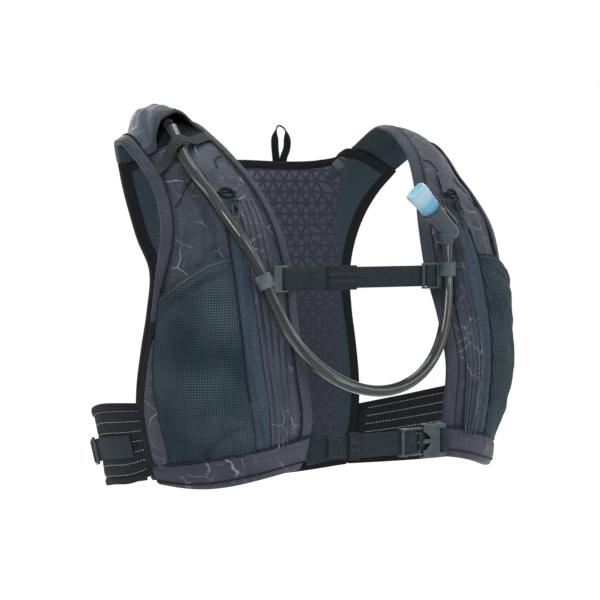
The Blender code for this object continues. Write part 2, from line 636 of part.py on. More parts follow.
# ------------------------------------------------------------------ bladder, connector and hose
BX, BZ0, BZ1, BY = 60.0, 56.0, 236.0, 129.0
T, B = [], []
for k in range(11):
    b = k / 10
    rt, rb = [], []
    for j in range(11):
        a = 2 * j / 10 - 1
        hw = BX * (0.80 + 0.20 * math.sin(math.pi * clamp(b * 1.1)) ** 0.5)
        x = a * hw
        z = BZ0 + (BZ1 - BZ0) * b
        f = max(0.0, (1 - abs(a) ** 2.6)) ** 0.6 * max(0.0, 1 - abs(2 * b - 1) ** 3.0) ** 0.6
        rt.append((x, BY + 8 + 15.0 * f + 0.8, z))
        rb.append((x, BY + 8 - 9.0 * f - 0.8, z))
    T.append(rt)
    B.append(rb)
grid_solid("bladder", "bladder_film", T, B)
# roll-top closure bar clamped over the bladder's top edge
ob = solid_box("bladder_closure", "buckle_plastic", (-54, BY + 2.5, BZ1 + 0.35), (54, BY + 13.5, BZ1 + 12), 1.2)
# quick connector under the bladder's lower corner and its release button
turned("hose_connector", "valve_body", (CX + 9, CY, CZ), (-1, 0, 0),
       [(0, 5.2), (0.01, 7.2), (9, 7.2), (9.5, 8.2), (12, 8.2), (12.5, 6.2), (16.5, 5.4)], 18)
ob = bpy.data.objects["hose_connector"]
apply_bool(ob, cylinder("c", "valve_body", (CX + 3, CY - 6, CZ), (CX + 3, CY + 10.6, CZ), 3.0, seg=16), "DIFFERENCE")
cylinder("connector_button", "buckle_plastic", (CX + 3, CY - 3.4, CZ), (CX + 3, CY + 7.9, CZ), 2.6, seg=16)
turned("bladder_outlet", "valve_body", (CX + 9 + 0.35, CY, CZ), (1, 0, 0), [(0, 6.0), (2, 6.0), (2.5, 8.5), (6, 8.5)], 18)
tube_curve("hose_inner", "tube", hose, 48, TUBE_D / 2, 0.0, 0.9985, 2)

# ------------------------------------------------------------------ shoulder hood and elastic over the hose
V0, V1 = 0.800, 0.990


def hood_off(u, v):
    c = 0.46 - 0.02 * (v - V0) / (V1 - V0)
    half = 0.36 - 0.09 * smooth(v, V0, 0.9)
    x = clamp(abs(u - c) / half)
    return 0.9 + (TUBE_D + 4.0) * (1 - smooth(x, 0.25, 1.0))


slab("hose_hood", "shell_fabric", front, frange(0.10, 0.86, 15), frange(V0, V1, 9),
     lambda u, v: hood_off(u, v) + 1.5, hood_off, -1)
# elastic band over the tube just below the hood
bp, bw = [], []
for i in range(13):
    f = i / 12
    u = 0.885 - (0.885 - 0.225) * f
    v = 0.712 + (0.766 - 0.712) * f
    arch = math.sin(math.pi * f)
    x = (u - 0.56) / 0.12
    h = 2.0 + (TUBE_D + 2.6) * math.exp(-abs(x) ** 2.6 / 1.6)
    bp.append(surf(front, u, v, h) * (-1, 1, 1))
    bw.append(surf(front, u, v + 0.01, 0) * (-1, 1, 1) - surf(front, u, v - 0.01, 0) * (-1, 1, 1))
ribbon("tube_band", "elastic", bp, bw, 13.0, 1.3)

# ------------------------------------------------------------------ drinking tube
on_panel = [tuple(surf(front, u, v, h) * (-1, 1, 1)) for u, v, h in TUBE_ON_PANEL]
tube = Path(on_panel + TUBE_FREE)
tube_curve("drinking_tube", "tube", tube, 50, TUBE_D / 2, 0.0, 1.0, 3)

# ------------------------------------------------------------------ sternum strap
SZ = 216.5                 # middle height of the strap
SY = -115.0                # middle depth of the ladder frame
main = [(-72, SY + 2.8), (-80, SY + 4.0), (-90, SY + 4.6), (-95.8, SY + 4.6), (-98.0, SY + 3.6), (-98.7, SY + 2.0),
        (-98.0, SY + 0.4), (-95.8, SY - 0.6), (-82, SY - 0.3), (-70, SY + 1.0), (-20, SY + 1.0), (50, SY + 1.0), (57.5, SY + 2.6),
        (62.2, SY + 2.75), (63.9, SY + 0.9), (64.4, SY - 1.0), (66.2, SY - 2.0), (71.6, SY - 2.0), (73.9, SY - 1.0), (74.3, SY + 0.8),
        (73.6, SY + 3.2), (71, SY + 4.4), (62, SY + 4.8), (56, SY + 4.6), (50, SY + 3.2), (-44, SY + 2.9)]
ribbon("sternum_webbing", "webbing", [(x, y, SZ) for x, y in main], (0, 0, 1), STERNUM_W, WEB_T)
# elastic keeper round both layers
k0, k1 = SY + 1.95 - 2.1 - GAP, SY + 1.95 + 2.1 + GAP
ob = solid_box("sternum_keeper", "elastic", (-50, k0 - 1.2, SZ - STERNUM_W / 2 - 1.7), (-18, k1 + 1.2, SZ + STERNUM_W / 2 + 1.7), 0.5)
cut_box(ob, (-60, k0, SZ - STERNUM_W / 2 - 0.4), (0, k1, SZ + STERNUM_W / 2 + 0.4))

# ladder frame with tube ring on the wearer's left
H = STERNUM_W / 2
ob = solid_box("sternum_ladder", "buckle_plastic", (59.5, SY - 1.5, SZ - H - 2.4), (83.5, SY + 1.5, SZ + H + 2.4), 0.7)
cut_box(ob, (61.6, SY - 5, SZ - H - 0.5), (65.8, SY + 5, SZ + H + 0.5))
cut_box(ob, (72.2, SY - 5, SZ - H - 0.5), (76.2, SY + 5, SZ + H + 0.5))
cut_box(ob, (64.0, SY - 5, SZ - H - 0.5), (73.0, SY - 0.8, SZ + H + 0.5))
cut_box(ob, (64.0, SY + 0.8, SZ - H - 0.5), (73.0, SY + 5, SZ + H + 0.5))
RC = np.array(tube(0.945))
rp = min((tube(t) for t in frange(0.85, 1.0, 200)), key=lambda p: abs(p[2] - (SZ + 6.5)))
RX, RY = float(rp[0]), float(rp[1])
RZ0, RZ1 = SZ - 0.5, SZ + 13.5
ring = cylinder("ring", "buckle_plastic", (RX, RY, RZ0), (RX, RY, RZ1), TUBE_D / 2 + 3.0, seg=24)
apply_bool(ob, ring, "UNION")
add_box(ob, (82, RY + 6.7, SZ - 5), (105.5, RY + 8.5, SZ + 5))
apply_bool(ob, cylinder("bore", "buckle_plastic", (RX + 0.25, RY + 0.35, RZ0 - 14), (RX - 0.35, RY - 0.1, RZ1 + 6), TUBE_D / 2 + 1.0, seg=24))
# webbing anchor loop on the left panel, over the frame's tongue
def on_left(x, z, off):
    lo = (0.15, 0.40)
    u, v = lo
    for _ in range(30):
        q = surf(front, u, v, off)
        u += (x - q[0]) / 150.0
        v += (z - q[2]) / 560.0
    return surf(front, u, v, off)


TY = RY + 6.7 - 1.2
ribbon("anchor_loop_left", "webbing",
       [on_left(103, SZ - 24, 2.6), on_left(103, SZ - 17, 2.6), (103, TY - 1.0, SZ - 9), (103, TY, SZ - 5), (103, TY, SZ + 6),
        on_left(103, SZ + 13, 2.4), on_left(103, SZ + 20, 2.4)], (1, 0, 0), 5.0, WEB_T)

# hook and tube clip on the wearer's right
CP = min((tube(t) for t in frange(0.3, 0.6, 400)), key=lambda p: abs(p[2] - 214.5))
tt = [tube(t) for t in frange(0.3, 0.6, 400)]
kk = int(np.argmin([abs(p[2] - 214.5) for p in tt]))
CT = unit(tt[kk + 4] - tt[kk - 4])
ob = solid_box("sternum_hook", "buckle_plastic", (-109, SY + 0.7, SZ - H - 2.4), (-92.9, SY + 3.3, SZ + H + 2.4), 0.6)
cut_box(ob, (-100.2, SY - 5, SZ - H - 0.5), (-96.4, SY + 8, SZ + H + 0.5))
ring = cylinder("ring", "buckle_plastic", CP - CT * 6.8, CP + CT * 6.8, TUBE_D / 2 + 2.6, seg=24)
apply_bool(ob, ring, "UNION")
bridge = solid_box("bridge", "buckle_plastic", (-118, SY + 1.4, SZ - 11.5), (-106, SY + 3.2, SZ + 3))
apply_bool(ob, bridge, "UNION")
apply_bool(ob, cylinder("bore", "buckle_plastic", CP - CT * 22, CP + CT * 22, TUBE_D / 2 + 0.6, seg=24))
xs = unit(np.cross(CT, (0, -1, 0)))


def at_clip(p):
    return CP + xs * p[0] + np.cross(xs, CT) * p[1] + CT * p[2]


# ------------------------------------------------------------------ waist strap
WZ = 58.5
WY = -128.0                # middle of the ladder's middle bar
HW = WAIST_W / 2
BAR0, BAR1 = 29.5, 40.5    # middle bar, wrapped by the webbing
lay0, lay1 = WY + 2.05, WY - 2.05
path = [(-76.5, -119.5), (-70, -121.0), (-60, -124.6), (-50, lay0), (0, lay0), (BAR1 - 1, lay0), (BAR1 + 1.6, lay0 - 0.75), (BAR1 + 2.4, WY),
        (BAR1 + 1.6, lay1 + 0.75), (BAR1 - 1, lay1), (0, lay1), (-28, lay1 + 0.2), (-38.5, lay1 + 1.35), (-41, lay1 + 1.55), (-58, lay1 + 1.55)]
th = [WEB_T] * 13 + [2.4, 2.4]
ribbon("waist_webbing", "webbing", [(x, y, WZ) for x, y in path], (0, 0, 1),
       [32, 30, 25] + [WAIST_W] * 12, WEB_T, thicks=th)
ob = solid_box("waist_keeper", "elastic", (-37, lay1 - 0.4 - 1.1, WZ - HW - 1.8), (-25, lay0 + 1.1 + 1.1, WZ + HW + 1.8), 0.5)
cut_box(ob, (-60, lay1 - 0.5 - 0.7 + 0.5, WZ - HW - 0.5), (0, lay0 + 1.1, WZ + HW + 0.5))

# male half: open frame with a raised front bar and a middle bar; its guides run above and below the webbing
FZ = HW + 2.4
ob = solid_box("waist_buckle_male", "buckle_plastic", (22.5, WY - 5.8, WZ - FZ), (BAR1 + 8.0, WY + 1.0, WZ + FZ), 0.7)
cut_box(ob, (BAR0 - 20, WY - 2.9, WZ - HW - 0.5), (BAR0, WY + 6, WZ + HW + 0.5))
cut_box(ob, (25.3, WY - 9, WZ - HW - 0.5), (BAR0, WY + 6, WZ + HW + 0.5))
cut_box(ob, (BAR0 - 1, WY - 9, WZ - HW - 0.5), (BAR1 + 0.01, WY - 1.0, WZ + HW + 0.5))
cut_box(ob, (BAR1, WY - 9, WZ - HW - 0.5), (BAR1 + 20, WY + 6, WZ + HW + 0.5))
cut_box(ob, (BAR0 - 0.5, WY - 9, WZ - FZ - 1), (BAR1 + 20, WY - 2.6, WZ + FZ + 1))
# two spring arms
ARM0, ARM1 = BAR1 + 8.35, 65.0
for name, s in (("upper", 1), ("lower", -1)):
    out = [(ARM0, 11.4), (ARM0, 13.2), (ARM0 + 4, 13.8), (ARM0 + 7, 14.8), (ARM1 - 3.2, 14.8), (ARM1, 13.8), (ARM1, 12.85), (ARM0 + 6, 11.95)]
    prism("buckle_arm_" + name, "buckle_plastic", out, WY - 2.3, WY + 0.9,
          lambda a, b, z, s=s: (a, z, WZ + s * b), origin=(ARM0, WY, WZ + s * 11.7))
# female half: open shell, mouth to the male, webbing slot at the other end
ob = solid_box("waist_buckle_female", "buckle_plastic", (47.0 + 2.4, WY - 4.4, WZ - 16.4), (76.0, WY + 2.9, WZ + 16.4), 1.0)
cut_box(ob, (40, WY - 2.9, WZ - 15.2), (67.0, WY + 1.4, WZ + 15.2))
cut_box(ob, (ARM0 + 5.0, WY - 2.9, WZ - 20), (ARM1 + 1.2, WY + 1.4, WZ + 20))
cut_box(ob, (68.4, WY - 9, WZ - HW - 0.6), (72.8, WY + 9, WZ + HW + 0.6))
for s in (1, -1):
    tri = [(46, 2.0 * s), (58, 2.0 * s), (52, 8.6 * s), (46, 8.6 * s)]
    apply_bool(ob, prism("t", "buckle_plastic", tri if s > 0 else tri[::-1], WY - 8, WY - 2.0, lambda a, b, z: (a, z, WZ + b)))
# short webbing from the far panel, round the female half's bar
ribbon("waist_anchor_webbing", "webbing",
       [(x, y, WZ) for x, y in ((77.9, WY + 7.2), (77.2, WY + 5.4), (74.5, WY + 4.4), (72.2, WY + 4.1), (70.5, WY + 2.4), (70.3, WY - 3.6),
                                (71.6, WY - 5.7), (74.0, WY - 6.0), (78.0, WY - 5.2))],
       (0, 0, 1), WAIST_W, WEB_T)

# ------------------------------------------------------------------ side adjusters
LX, LY, LZ = -218.0, 82.0, 55.0
for name, s in SIDES:
    # webbing lies on the wing from the front panel to the ladder lock
    m = np.array((s, 1, 1))
    vv = 0.46
    pts, wd = [], []
    for u in frange(0.10, 0.46, 9):
        pts.append(surf(wing, u, vv, 1.6 + 1.4))
        wd.append(wing(u, vv + 0.1) - wing(u, vv - 0.1))
    e = surf(wing, 0.50, vv, 1.6 + 3.4)
    n = unit(surf(wing, 0.50, vv, 2) - surf(wing, 0.50, vv, 1))
    t = unit(wing(0.52, vv) - wing(0.48, vv))
    t = unit(t - n * (t @ n))
    wz = unit(wing(0.5, vv + 0.1) - wing(0.5, vv - 0.1))
    wz = unit(wz - t * (wz @ t))
    nn = np.cross(t, wz)
    nn = nn if nn @ n > 0 else -nn
    c = surf(wing, 0.50, vv, 1.6 + 4.6)

    def sp(p, c=c, t=t, nn=nn, wz=wz, m=m):
        return (c + t * p[0] + nn * p[1] + wz * p[2]) * m
    # ladder lock: frame with two slots
    hs2 = SIDE_W / 2
    ob = solid_box("side_ladder_" + name, "buckle_plastic", (-6.5, -1.4, -hs2 - 2.4), (9.5, 1.4, hs2 + 2.4), 0.7, sp)
    cut_box(ob, (-4.0, -9, -hs2 - 0.5), (-0.6, 9, hs2 + 0.5), sp)
    cut_box(ob, (3.6, -9, -hs2 - 0.5), (7.0, 9, hs2 + 0.5), sp)
    # the strap rises off the wing, over the middle bar and back under it
    m1 = [sp((-3.0, 1.4, 0)) * m, sp((-0.4, 2.45, 0)) * m, sp((3.0, 2.45, 0)) * m, sp((5.3, 1.2, 0)) * m, sp((5.3, -1.0, 0)) * m,
          sp((3.4, -2.6, 0)) * m]
    pts = pts[:-1] + [sp((-6.8, -2.6, 0)) * m, sp((-3.6, -2.5, 0)) * m, sp((-2.2, -0.8, 0)) * m, sp((-2.2, 0.9, 0)) * m, sp((-0.6, 2.4, 0)) * m,
                      sp((3.2, 2.45, 0)) * m, sp((5.3, 1.4, 0)) * m, sp((5.3, -1.0, 0)) * m]
    wd = wd[:-1] + [wz] * 8
    ribbon("side_webbing_" + name, "webbing", pts, wd, SIDE_W, WEB_T, s)

# ------------------------------------------------------------------ hang loop
lp = [(47.5, 128.8, 326), (46.5, 128.4, 335), (44.5, 127.4, 348), (44.5, 126.6, 360), (48.5, 126.4, 369), (54.5, 126.4, 367), (59.5, 127.0, 356),
      (59.5, 127.6, 345), (56.0, 128.4, 335), (55.5, 128.8, 326)]
ribbon("hang_loop", "webbing", lp, (0.35, 1, 0), 7.0, 1.3)

# ------------------------------------------------------------------ bite valve on the tube's end
TE = np.array(tube(1.0))
TD = unit(tube(1.0) - tube(0.985))
AX = unit((-0.76, -0.12, 0.64))                      # axis of the valve body, towards the mouthpiece
VB = np.array((97.0, -115.9, 254.0))                 # closed rear end of the valve body
ELB = VB + AX * 19.0
turned("valve_body", "valve_body", VB, AX,
       [(0, 4.6), (1.2, 6.2), (3.5, 7.6), (7, 8.6), (16, 9.0), (30, 9.3), (40, 9.5), (40.5, 8.8), (43, 8.6)], 20)
vb = bpy.data.objects["valve_body"]
stem = turned("stem", "valve_body", TE + TD * 1.3, ELB - TE, [(0, 6.5), (5, 7.1), (12, 6.4)], 16)
apply_bool(vb, stem, "UNION")
MB = VB + AX * (43 + GAP)
turned("mouthpiece", "bite_silicone", MB, AX, [(0, 9.2), (1, 9.9), (8, 10.2), (20, 10.6), (24.5, 10.4), (26, 9.2)], 20)
mp = bpy.data.objects["mouthpiece"]
# bite slit across the tip
sx = unit(np.cross(AX, (0, 1, 0)))
sn = np.cross(AX, sx)
MT = MB + AX * 26


def at_tip(p):
    return MT + sx * p[0] + sn * p[1] + AX * p[2]


cut_box(mp, (-6.0, -0.5, -5), (6.0, 0.5, 1), at_tip)
# shut-off lever on the side of the body, turning about a pin that stands out of the body
SD = unit(np.cross(AX, (0, 1, 0)))
SD = SD if SD[0] > 0 else -SD                         # side of the body facing away from the neck
LB = ELB + AX * 4 + SD * 9.4
LP = unit(np.cross(AX, SD))


def at_lever(p):
    return LB + AX * p[0] + LP * p[1] + SD * p[2]


apply_bool(vb, cylinder("pin", "valve_body", LB - SD * 2.5, LB + SD * 0.7, 2.4, seg=16), "UNION")
ob = solid_box("shutoff_lever", "valve_body", (-15.5, -3.2, 1.0), (6.5, 3.2, 3.4), 0.8, at_lever, origin=LB + SD * 2.2)
print("lever axis", SD.round(5), "at", (LB + SD * 2.2).round(2), "tube end", TE.round(2), "dir", TD.round(4), "elbow", ELB.round(2))
print("slider rest", _c.round(2).tolist(), "arc centre", ZIP_C.round(3).tolist(), "n", ZIP_N.round(5).tolist(), "R", round(ZIP_R, 2), "span", round(math.degrees(ZIP_SPAN), 2))
print("rear pull pivot", -RZ_X, round(py, 3), RZ_Z)
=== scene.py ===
"""Looks for the vest-style hydration pack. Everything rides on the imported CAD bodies.
Lengths below are in millimetres unless a line says otherwise; meshes are written in metres."""
import json
import math
import bpy
import numpy as np
from mathutils import Matrix, Vector

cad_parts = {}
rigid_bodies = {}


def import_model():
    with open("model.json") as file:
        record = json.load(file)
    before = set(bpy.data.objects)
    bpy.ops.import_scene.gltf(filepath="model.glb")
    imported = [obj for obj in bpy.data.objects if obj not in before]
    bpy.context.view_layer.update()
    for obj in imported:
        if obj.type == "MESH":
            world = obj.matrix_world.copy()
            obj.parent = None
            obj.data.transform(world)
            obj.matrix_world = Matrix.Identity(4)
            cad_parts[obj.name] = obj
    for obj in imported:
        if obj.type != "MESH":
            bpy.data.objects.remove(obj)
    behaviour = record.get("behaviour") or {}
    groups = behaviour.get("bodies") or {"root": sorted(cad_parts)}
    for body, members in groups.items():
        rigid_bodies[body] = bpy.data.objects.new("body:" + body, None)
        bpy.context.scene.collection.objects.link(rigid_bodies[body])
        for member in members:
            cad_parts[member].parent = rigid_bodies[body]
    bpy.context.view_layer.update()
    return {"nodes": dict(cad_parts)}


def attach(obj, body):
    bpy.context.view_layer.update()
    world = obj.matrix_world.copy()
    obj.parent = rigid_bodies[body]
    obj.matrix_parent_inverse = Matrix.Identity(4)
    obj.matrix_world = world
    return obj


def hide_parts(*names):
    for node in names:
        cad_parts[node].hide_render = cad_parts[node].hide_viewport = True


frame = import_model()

scene = bpy.context.scene
MM = 0.001
GAP = 0.35
PANEL_T, BACK_T, BIND_T, WEB_T = 8.0, 8.0, 1.5, 1.4
STERNUM_W, WAIST_W, SIDE_W = 20.0, 22.0, 22.0
TUBE_D, POCKET_DEPTH, COMPARTMENT_Y, HEM_SAG = 11.0, 12.0, 158.0, 7.0

# ------------------------------------------------------------------ camera, light, floor
cam_d = bpy.data.cameras.new("view_camera")
cam_d.lens = 119.7
cam_d.sensor_width = 36
cam_d.clip_end = 50
cam = bpy.data.objects.new("view_camera", cam_d)
scene.collection.objects.link(cam)
cam.location = (-1.08666, -1.66332, 0.28125)
cam.rotation_euler = (math.radians(90 - 2.62), 0, math.radians(-33))
scene.camera = cam
scene.view_settings.view_transform = "Standard"
scene.view_settings.look = "None"


def area(name, loc, target, size, power, color=(1, 1, 1)):
    d = bpy.data.lights.new(name, "AREA")
    d.shape = "DISK"
    d.size = size
    d.energy = power
    d.color = color
    o = bpy.data.objects.new(name, d)
    scene.collection.objects.link(o)
    o.location = loc
    o.rotation_euler = (Vector(target) - Vector(loc)).to_track_quat("-Z", "Y").to_euler()
    return o


area("key", (-1.7, -1.5, 1.9), (0, 0, 0.2), 1.1, 40)
area("fill", (1.5, -1.9, 0.9), (0, 0, 0.2), 1.4, 17)
area("top", (0.2, 0.4, 2.1), (0, 0, 0.2), 1.3, 26)
area("rear", (0.4, 2.0, 0.9), (0, 0, 0.2), 1.3, 20)
world = bpy.data.worlds.new("studio")
scene.world = world
world.use_nodes = True
world.node_tree.nodes["Background"].inputs["Color"].default_value = (1.0, 1.0, 1.0, 1)
world.node_tree.nodes["Background"].inputs["Strength"].default_value = 1.0

# one side, front hem to shoulder seam: inner edge, outer edge, crown of the panel
STATIONS = [
    ((86, -121, 42), (194, -45, 28), 20),
    ((79, -124, 64), (203, -43, 55), 22),
    ((78, -128, 90), (209, -41, 88), 24),
    ((83, -126, 130), (210, -46, 127), 24),
    ((83, -113, 173), (207, -56, 168), 22),
    ((79, -95, 224), (200, -57, 222), 18),
    ((83, -79, 266), (192, -53, 262), 16),
    ((94, -57, 304), (186, -31, 294), 14),
    ((105, -31, 332), (184, -10, 313), 12),
    ((111, -6, 350), (187, 14, 333), 10),
    ((114, 20, 363), (188, 34, 345), 8),
    ((117, 45, 365), (184, 53, 345), 7),
    ((117, 68, 355), (175, 69, 336), 5),
    ((113, 83, 344), (166, 81, 324), 3),
]
# back panel: half of the neck hem, the armhole edge and the lower hem
NECK = [(0, 121, 331), (58, 119, 330), (92, 113, 332), (108, 100, 336), (113, 83, 344), (166, 81, 324)]
ARM = [(166, 81, 324), (154, 95, 303), (142, 104, 278), (131, 107, 250), (121, 102, 222), (123, 103, 177),
       (129, 104, 140), (134, 105, 98), (134, 105, 72), (127, 104, 38), (118, 103, 8)]
LOWHEM = [(0, 116, 2), (60, 112, 3), (118, 103, 8)]
# side wing: upper and lower edge, from the front panel round to the back panel
WING_TOP = [(201, -30, 99), (212, -8, 98), (216, 24, 95), (206, 60, 87), (180, 89, 78), (142, 103, 71)]
WING_LOW = [(189, -28, 33), (199, -8, 24), (201, 24, 19), (190, 60, 13), (166, 89, 9), (132, 102, 8)]
# zip: middle line of the front zip on the panel, as (u, v)
ZIP_UV = [(0.265, 0.055), (0.30, 0.15), (0.33, 0.25), (0.362, 0.35), (0.392, 0.45), (0.402, 0.52), (0.395, 0.60)]
# drinking tube: where it lies on the right panel, as (u, v, height of its middle), then free in the air
TUBE_ON_PANEL = [(0.47, 0.800, 8.4), (0.53, 0.752, 7.8), (0.589, 0.704, 7.6), (0.605, 0.639, 7.8), (0.566, 0.591, 8.4),
                 (0.513, 0.540, 11.0), (0.423, 0.493, 14.0)]
TUBE_FREE = [(-127.2, -114.2, 228.6), (-121.3, -118.5, 213.2), (-114.7, -124.6, 193.2), (-102.5, -134, 164), (-77, -141, 136),
             (-46, -146, 118), (-18.6, -147, 111.5), (11.5, -145, 113.5), (44, -139, 127.5), (67.5, -131.5, 150.5),
             (81.5, -124, 183), (86.5, -119, 203), (88.0, -116.6, 223.6), (87.4, -116.6, 236), (86.8, -117, 247.5)]
# hose under the rear cover, as (u, w, height of its middle) on the back panel, then over the shoulder
HOSE_ON_BACK = [(0.185, 0.78, 8.0), (0.185, 0.60, 8.0), (0.185, 0.42, 8.0), (0.18, 0.28, 7.6), (0.155, 0.17, 7.4), (0.115, 0.09, 7.4),
                (0.082, 0.035, 7.6)]
HOSE_ON_STRAP = [(0.47, 0.975, 7.6), (0.47, 0.93, 7.6), (0.47, 0.87, 7.8), (0.47, 0.812, 8.2)]


# ------------------------------------------------------------------ curves and surfaces
class Path:
    """Smooth curve through points, read by the fraction of its length."""

    def __init__(self, pts, ts=None):
        self.p = np.array(pts, float)
        if ts is None:
            d = np.linalg.norm(np.diff(self.p, axis=0), axis=1)
            ts = np.r_[0, np.cumsum(d)] / d.sum()
        self.t = np.array(ts, float)
        n = len(self.p)
        m = np.zeros_like(self.p)
        for i in range(n):
            if i == 0:
                m[i] = (self.p[1] - self.p[0]) / (self.t[1] - self.t[0])
            elif i == n - 1:
                m[i] = (self.p[-1] - self.p[-2]) / (self.t[-1] - self.t[-2])
            else:
                a, b = self.t[i] - self.t[i - 1], self.t[i + 1] - self.t[i]
                m[i] = ((self.p[i] - self.p[i - 1]) / a * b + (self.p[i + 1] - self.p[i]) / b * a) / (a + b)
        self.m = m

    def __call__(self, t):
        t = min(max(float(t), 0.0), 1.0)
        i = int(np.searchsorted(self.t, t, side="right") - 1)
        i = min(max(i, 0), len(self.t) - 2)
        h = self.t[i + 1] - self.t[i]
        s = (t - self.t[i]) / h
        return ((2 * s**3 - 3 * s**2 + 1) * self.p[i] + (s**3 - 2 * s**2 + s) * h * self.m[i]
                + (-2 * s**3 + 3 * s**2) * self.p[i + 1] + (s**3 - s**2) * h * self.m[i + 1])


def unit(a):
    a = np.array(a, float)
    return a / np.linalg.norm(a)


def clamp(x, a=0.0, b=1.0):
    return min(max(x, a), b)


def smooth(x, a, b):
    t = clamp((x - a) / (b - a))
    return t * t * (3 - 2 * t)


_mid = [0.5 * (np.array(a, float) + np.array(b, float)) for a, b, c in STATIONS]
_d = np.linalg.norm(np.diff(_mid, axis=0), axis=1)
V_AT = np.r_[0, np.cumsum(_d)] / _d.sum()
PANEL_LEN = float(_d.sum())
E_IN = Path([s[0] for s in STATIONS], V_AT)
E_OUT = Path([s[1] for s in STATIONS], V_AT)
CROWN = Path([(s[2],) for s in STATIONS], V_AT)


def front_plain(u, v):
    """Outer face of a front panel: u from the inner to the outer edge, v from the hem to the seam."""
    a, b = E_IN(v), E_OUT(v)
    r = b - a
    w = 0.01
    hi, lo = min(v + w, 1), max(v - w, 0)
    t = (E_IN(hi) + E_OUT(hi)) - (E_IN(lo) + E_OUT(lo))
    n = unit(np.cross(r, t))
    uu = clamp(u)
    p = a + r * u + n * CROWN(v)[0] * math.sin(math.pi * uu**0.8)
    p[2] -= HEM_SAG * math.sin(math.pi * uu**1.4) * max(0.0, 1 - v / 0.12) ** 2
    return p


_half = [np.array(p, float) for p in NECK]
_hem = [p * (-1, 1, 1) for p in _half[::-1]] + _half[1:]
HEM_PATH = Path(_hem)
ARM_PATH = Path(ARM)
_low = [np.array(p, float) for p in LOWHEM]
LOW_PATH = Path([p * (-1, 1, 1) for p in _low[::-1]] + _low[1:])
P00, P10 = HEM_PATH(0), HEM_PATH(1)
P01, P11 = LOW_PATH(0), LOW_PATH(1)


def back(u, w):
    """Rear face of the back panel: u from -X to +X, w from the neck hem down."""
    t, b = HEM_PATH(u), LOW_PATH(u)
    r = ARM_PATH(w)
    l = r * (-1, 1, 1)
    p = ((1 - w) * t + w * b + (1 - u) * l + u * r
         - ((1 - u) * (1 - w) * P00 + u * (1 - w) * P10 + (1 - u) * w * P01 + u * w * P11))
    mid = HEM_PATH(0.5)[1] * (1 - w) + LOW_PATH(0.5)[1] * w
    g = (t[1] - P00[1]) / (HEM_PATH(0.5)[1] - P00[1])
    s = smooth(w, 0.0, 0.22)
    p[1] = r[1] + (mid - r[1]) * ((1 - s) * g + s * (1 - (2 * u - 1) ** 2))
    return p


WT, WL = Path(WING_TOP), Path(WING_LOW)


def wing(u, v):
    """Outer face of a side wing: u from the front to the back, v from the lower to the upper edge."""
    return WL(u) * (1 - v) + WT(u) * v


def surf(fn, u, v, off=0.0, e=0.004):
    u0, u1 = max(u - e, 0.0), min(u + e, 1.0)
    v0, v1 = max(v - e, 0.0), min(v + e, 1.0)
    n = unit(np.cross(fn(u1, v) - fn(u0, v), fn(u, v1) - fn(u, v0)))
    return fn(u, v) + n * off


def line_uv(table, v):
    vs = [q[1] for q in table]
    return float(np.interp(v, vs, [q[0] for q in table]))


def frange(a, b, n):
    return [a + (b - a) * i / (n - 1) for i in range(n)]


# The front zip's slider runs on a circular arc, so the panel is shaped to follow that arc along the zip.
zip_vs = frange(0.06, 0.598, 24)
zip_raw = np.array([surf(front_plain, line_uv(ZIP_UV, v), v, 0.0) for v in zip_vs])
zc = zip_raw.mean(0)
_, _, vt = np.linalg.svd(zip_raw - zc)
ZIP_N = vt[2] if vt[2][0] > 0 else -vt[2]              # across the zip: the hinge axis of the slider's arc, left side
ea, eb = vt[0], vt[1]
xy = np.stack([(zip_raw - zc) @ ea, (zip_raw - zc) @ eb], 1)
sol = np.linalg.lstsq(np.c_[2 * xy, np.ones(len(xy))], (xy**2).sum(1), rcond=None)[0]
ZIP_C = zc + ea * sol[0] + eb * sol[1]                 # centre of the arc
ZIP_R = math.sqrt(sol[2] + sol[0] ** 2 + sol[1] ** 2)


def off_arc(p):
    q = p - ZIP_C
    return float(np.linalg.norm(q - ZIP_N * (q @ ZIP_N)) - ZIP_R)


ARC_FIX = Path([(-off_arc(p),) for p in zip_raw], (np.array(zip_vs) - zip_vs[0]) / (zip_vs[-1] - zip_vs[0]))


def front(u, v):
    """Outer face of a front panel, with the zip line brought on to its arc."""
    p = front_plain(u, v)
    t = (v - zip_vs[0]) / (zip_vs[-1] - zip_vs[0])
    k = ARC_FIX(t)[0] * smooth(v, -0.05, 0.06) * (1 - smooth(v, 0.60, 0.74))
    x = (u - line_uv(ZIP_UV, v)) / 0.24
    q = p - ZIP_C
    q = unit(q - ZIP_N * (q @ ZIP_N))
    return p + q * k * math.exp(-x * x)


zip_pts = np.array([surf(front, line_uv(ZIP_UV, v), v, 0.0) for v in zip_vs])
dev = [off_arc(p) for p in zip_pts]


# ------------------------------------------------------------------ fine surfaces
def cubic_rows(n_in, n_out):
    """Catmull-Rom weights from n_in evenly spaced samples to n_out."""
    A = np.zeros((n_out, n_in))
    for i, x in enumerate(np.linspace(0, n_in - 1, n_out)):
        k = min(int(x), n_in - 2)
        t = x - k
        w = (-0.5 * t + t * t - 0.5 * t**3, 1 - 2.5 * t * t + 1.5 * t**3, 0.5 * t + 2 * t * t - 1.5 * t**3, -0.5 * t * t + 0.5 * t**3)
        for j, c in zip((k - 1, k, k + 1, k + 2), w):
            if j < 0:
                A[i, 0] += 2 * c
                A[i, 1] -= c
            elif j > n_in - 1:
                A[i, n_in - 1] += 2 * c
                A[i, n_in - 2] -= c
            else:
                A[i, j] += c
    return A


def norm_rows(a):
    return a / np.maximum(np.linalg.norm(a, axis=-1, keepdims=True), 1e-9)


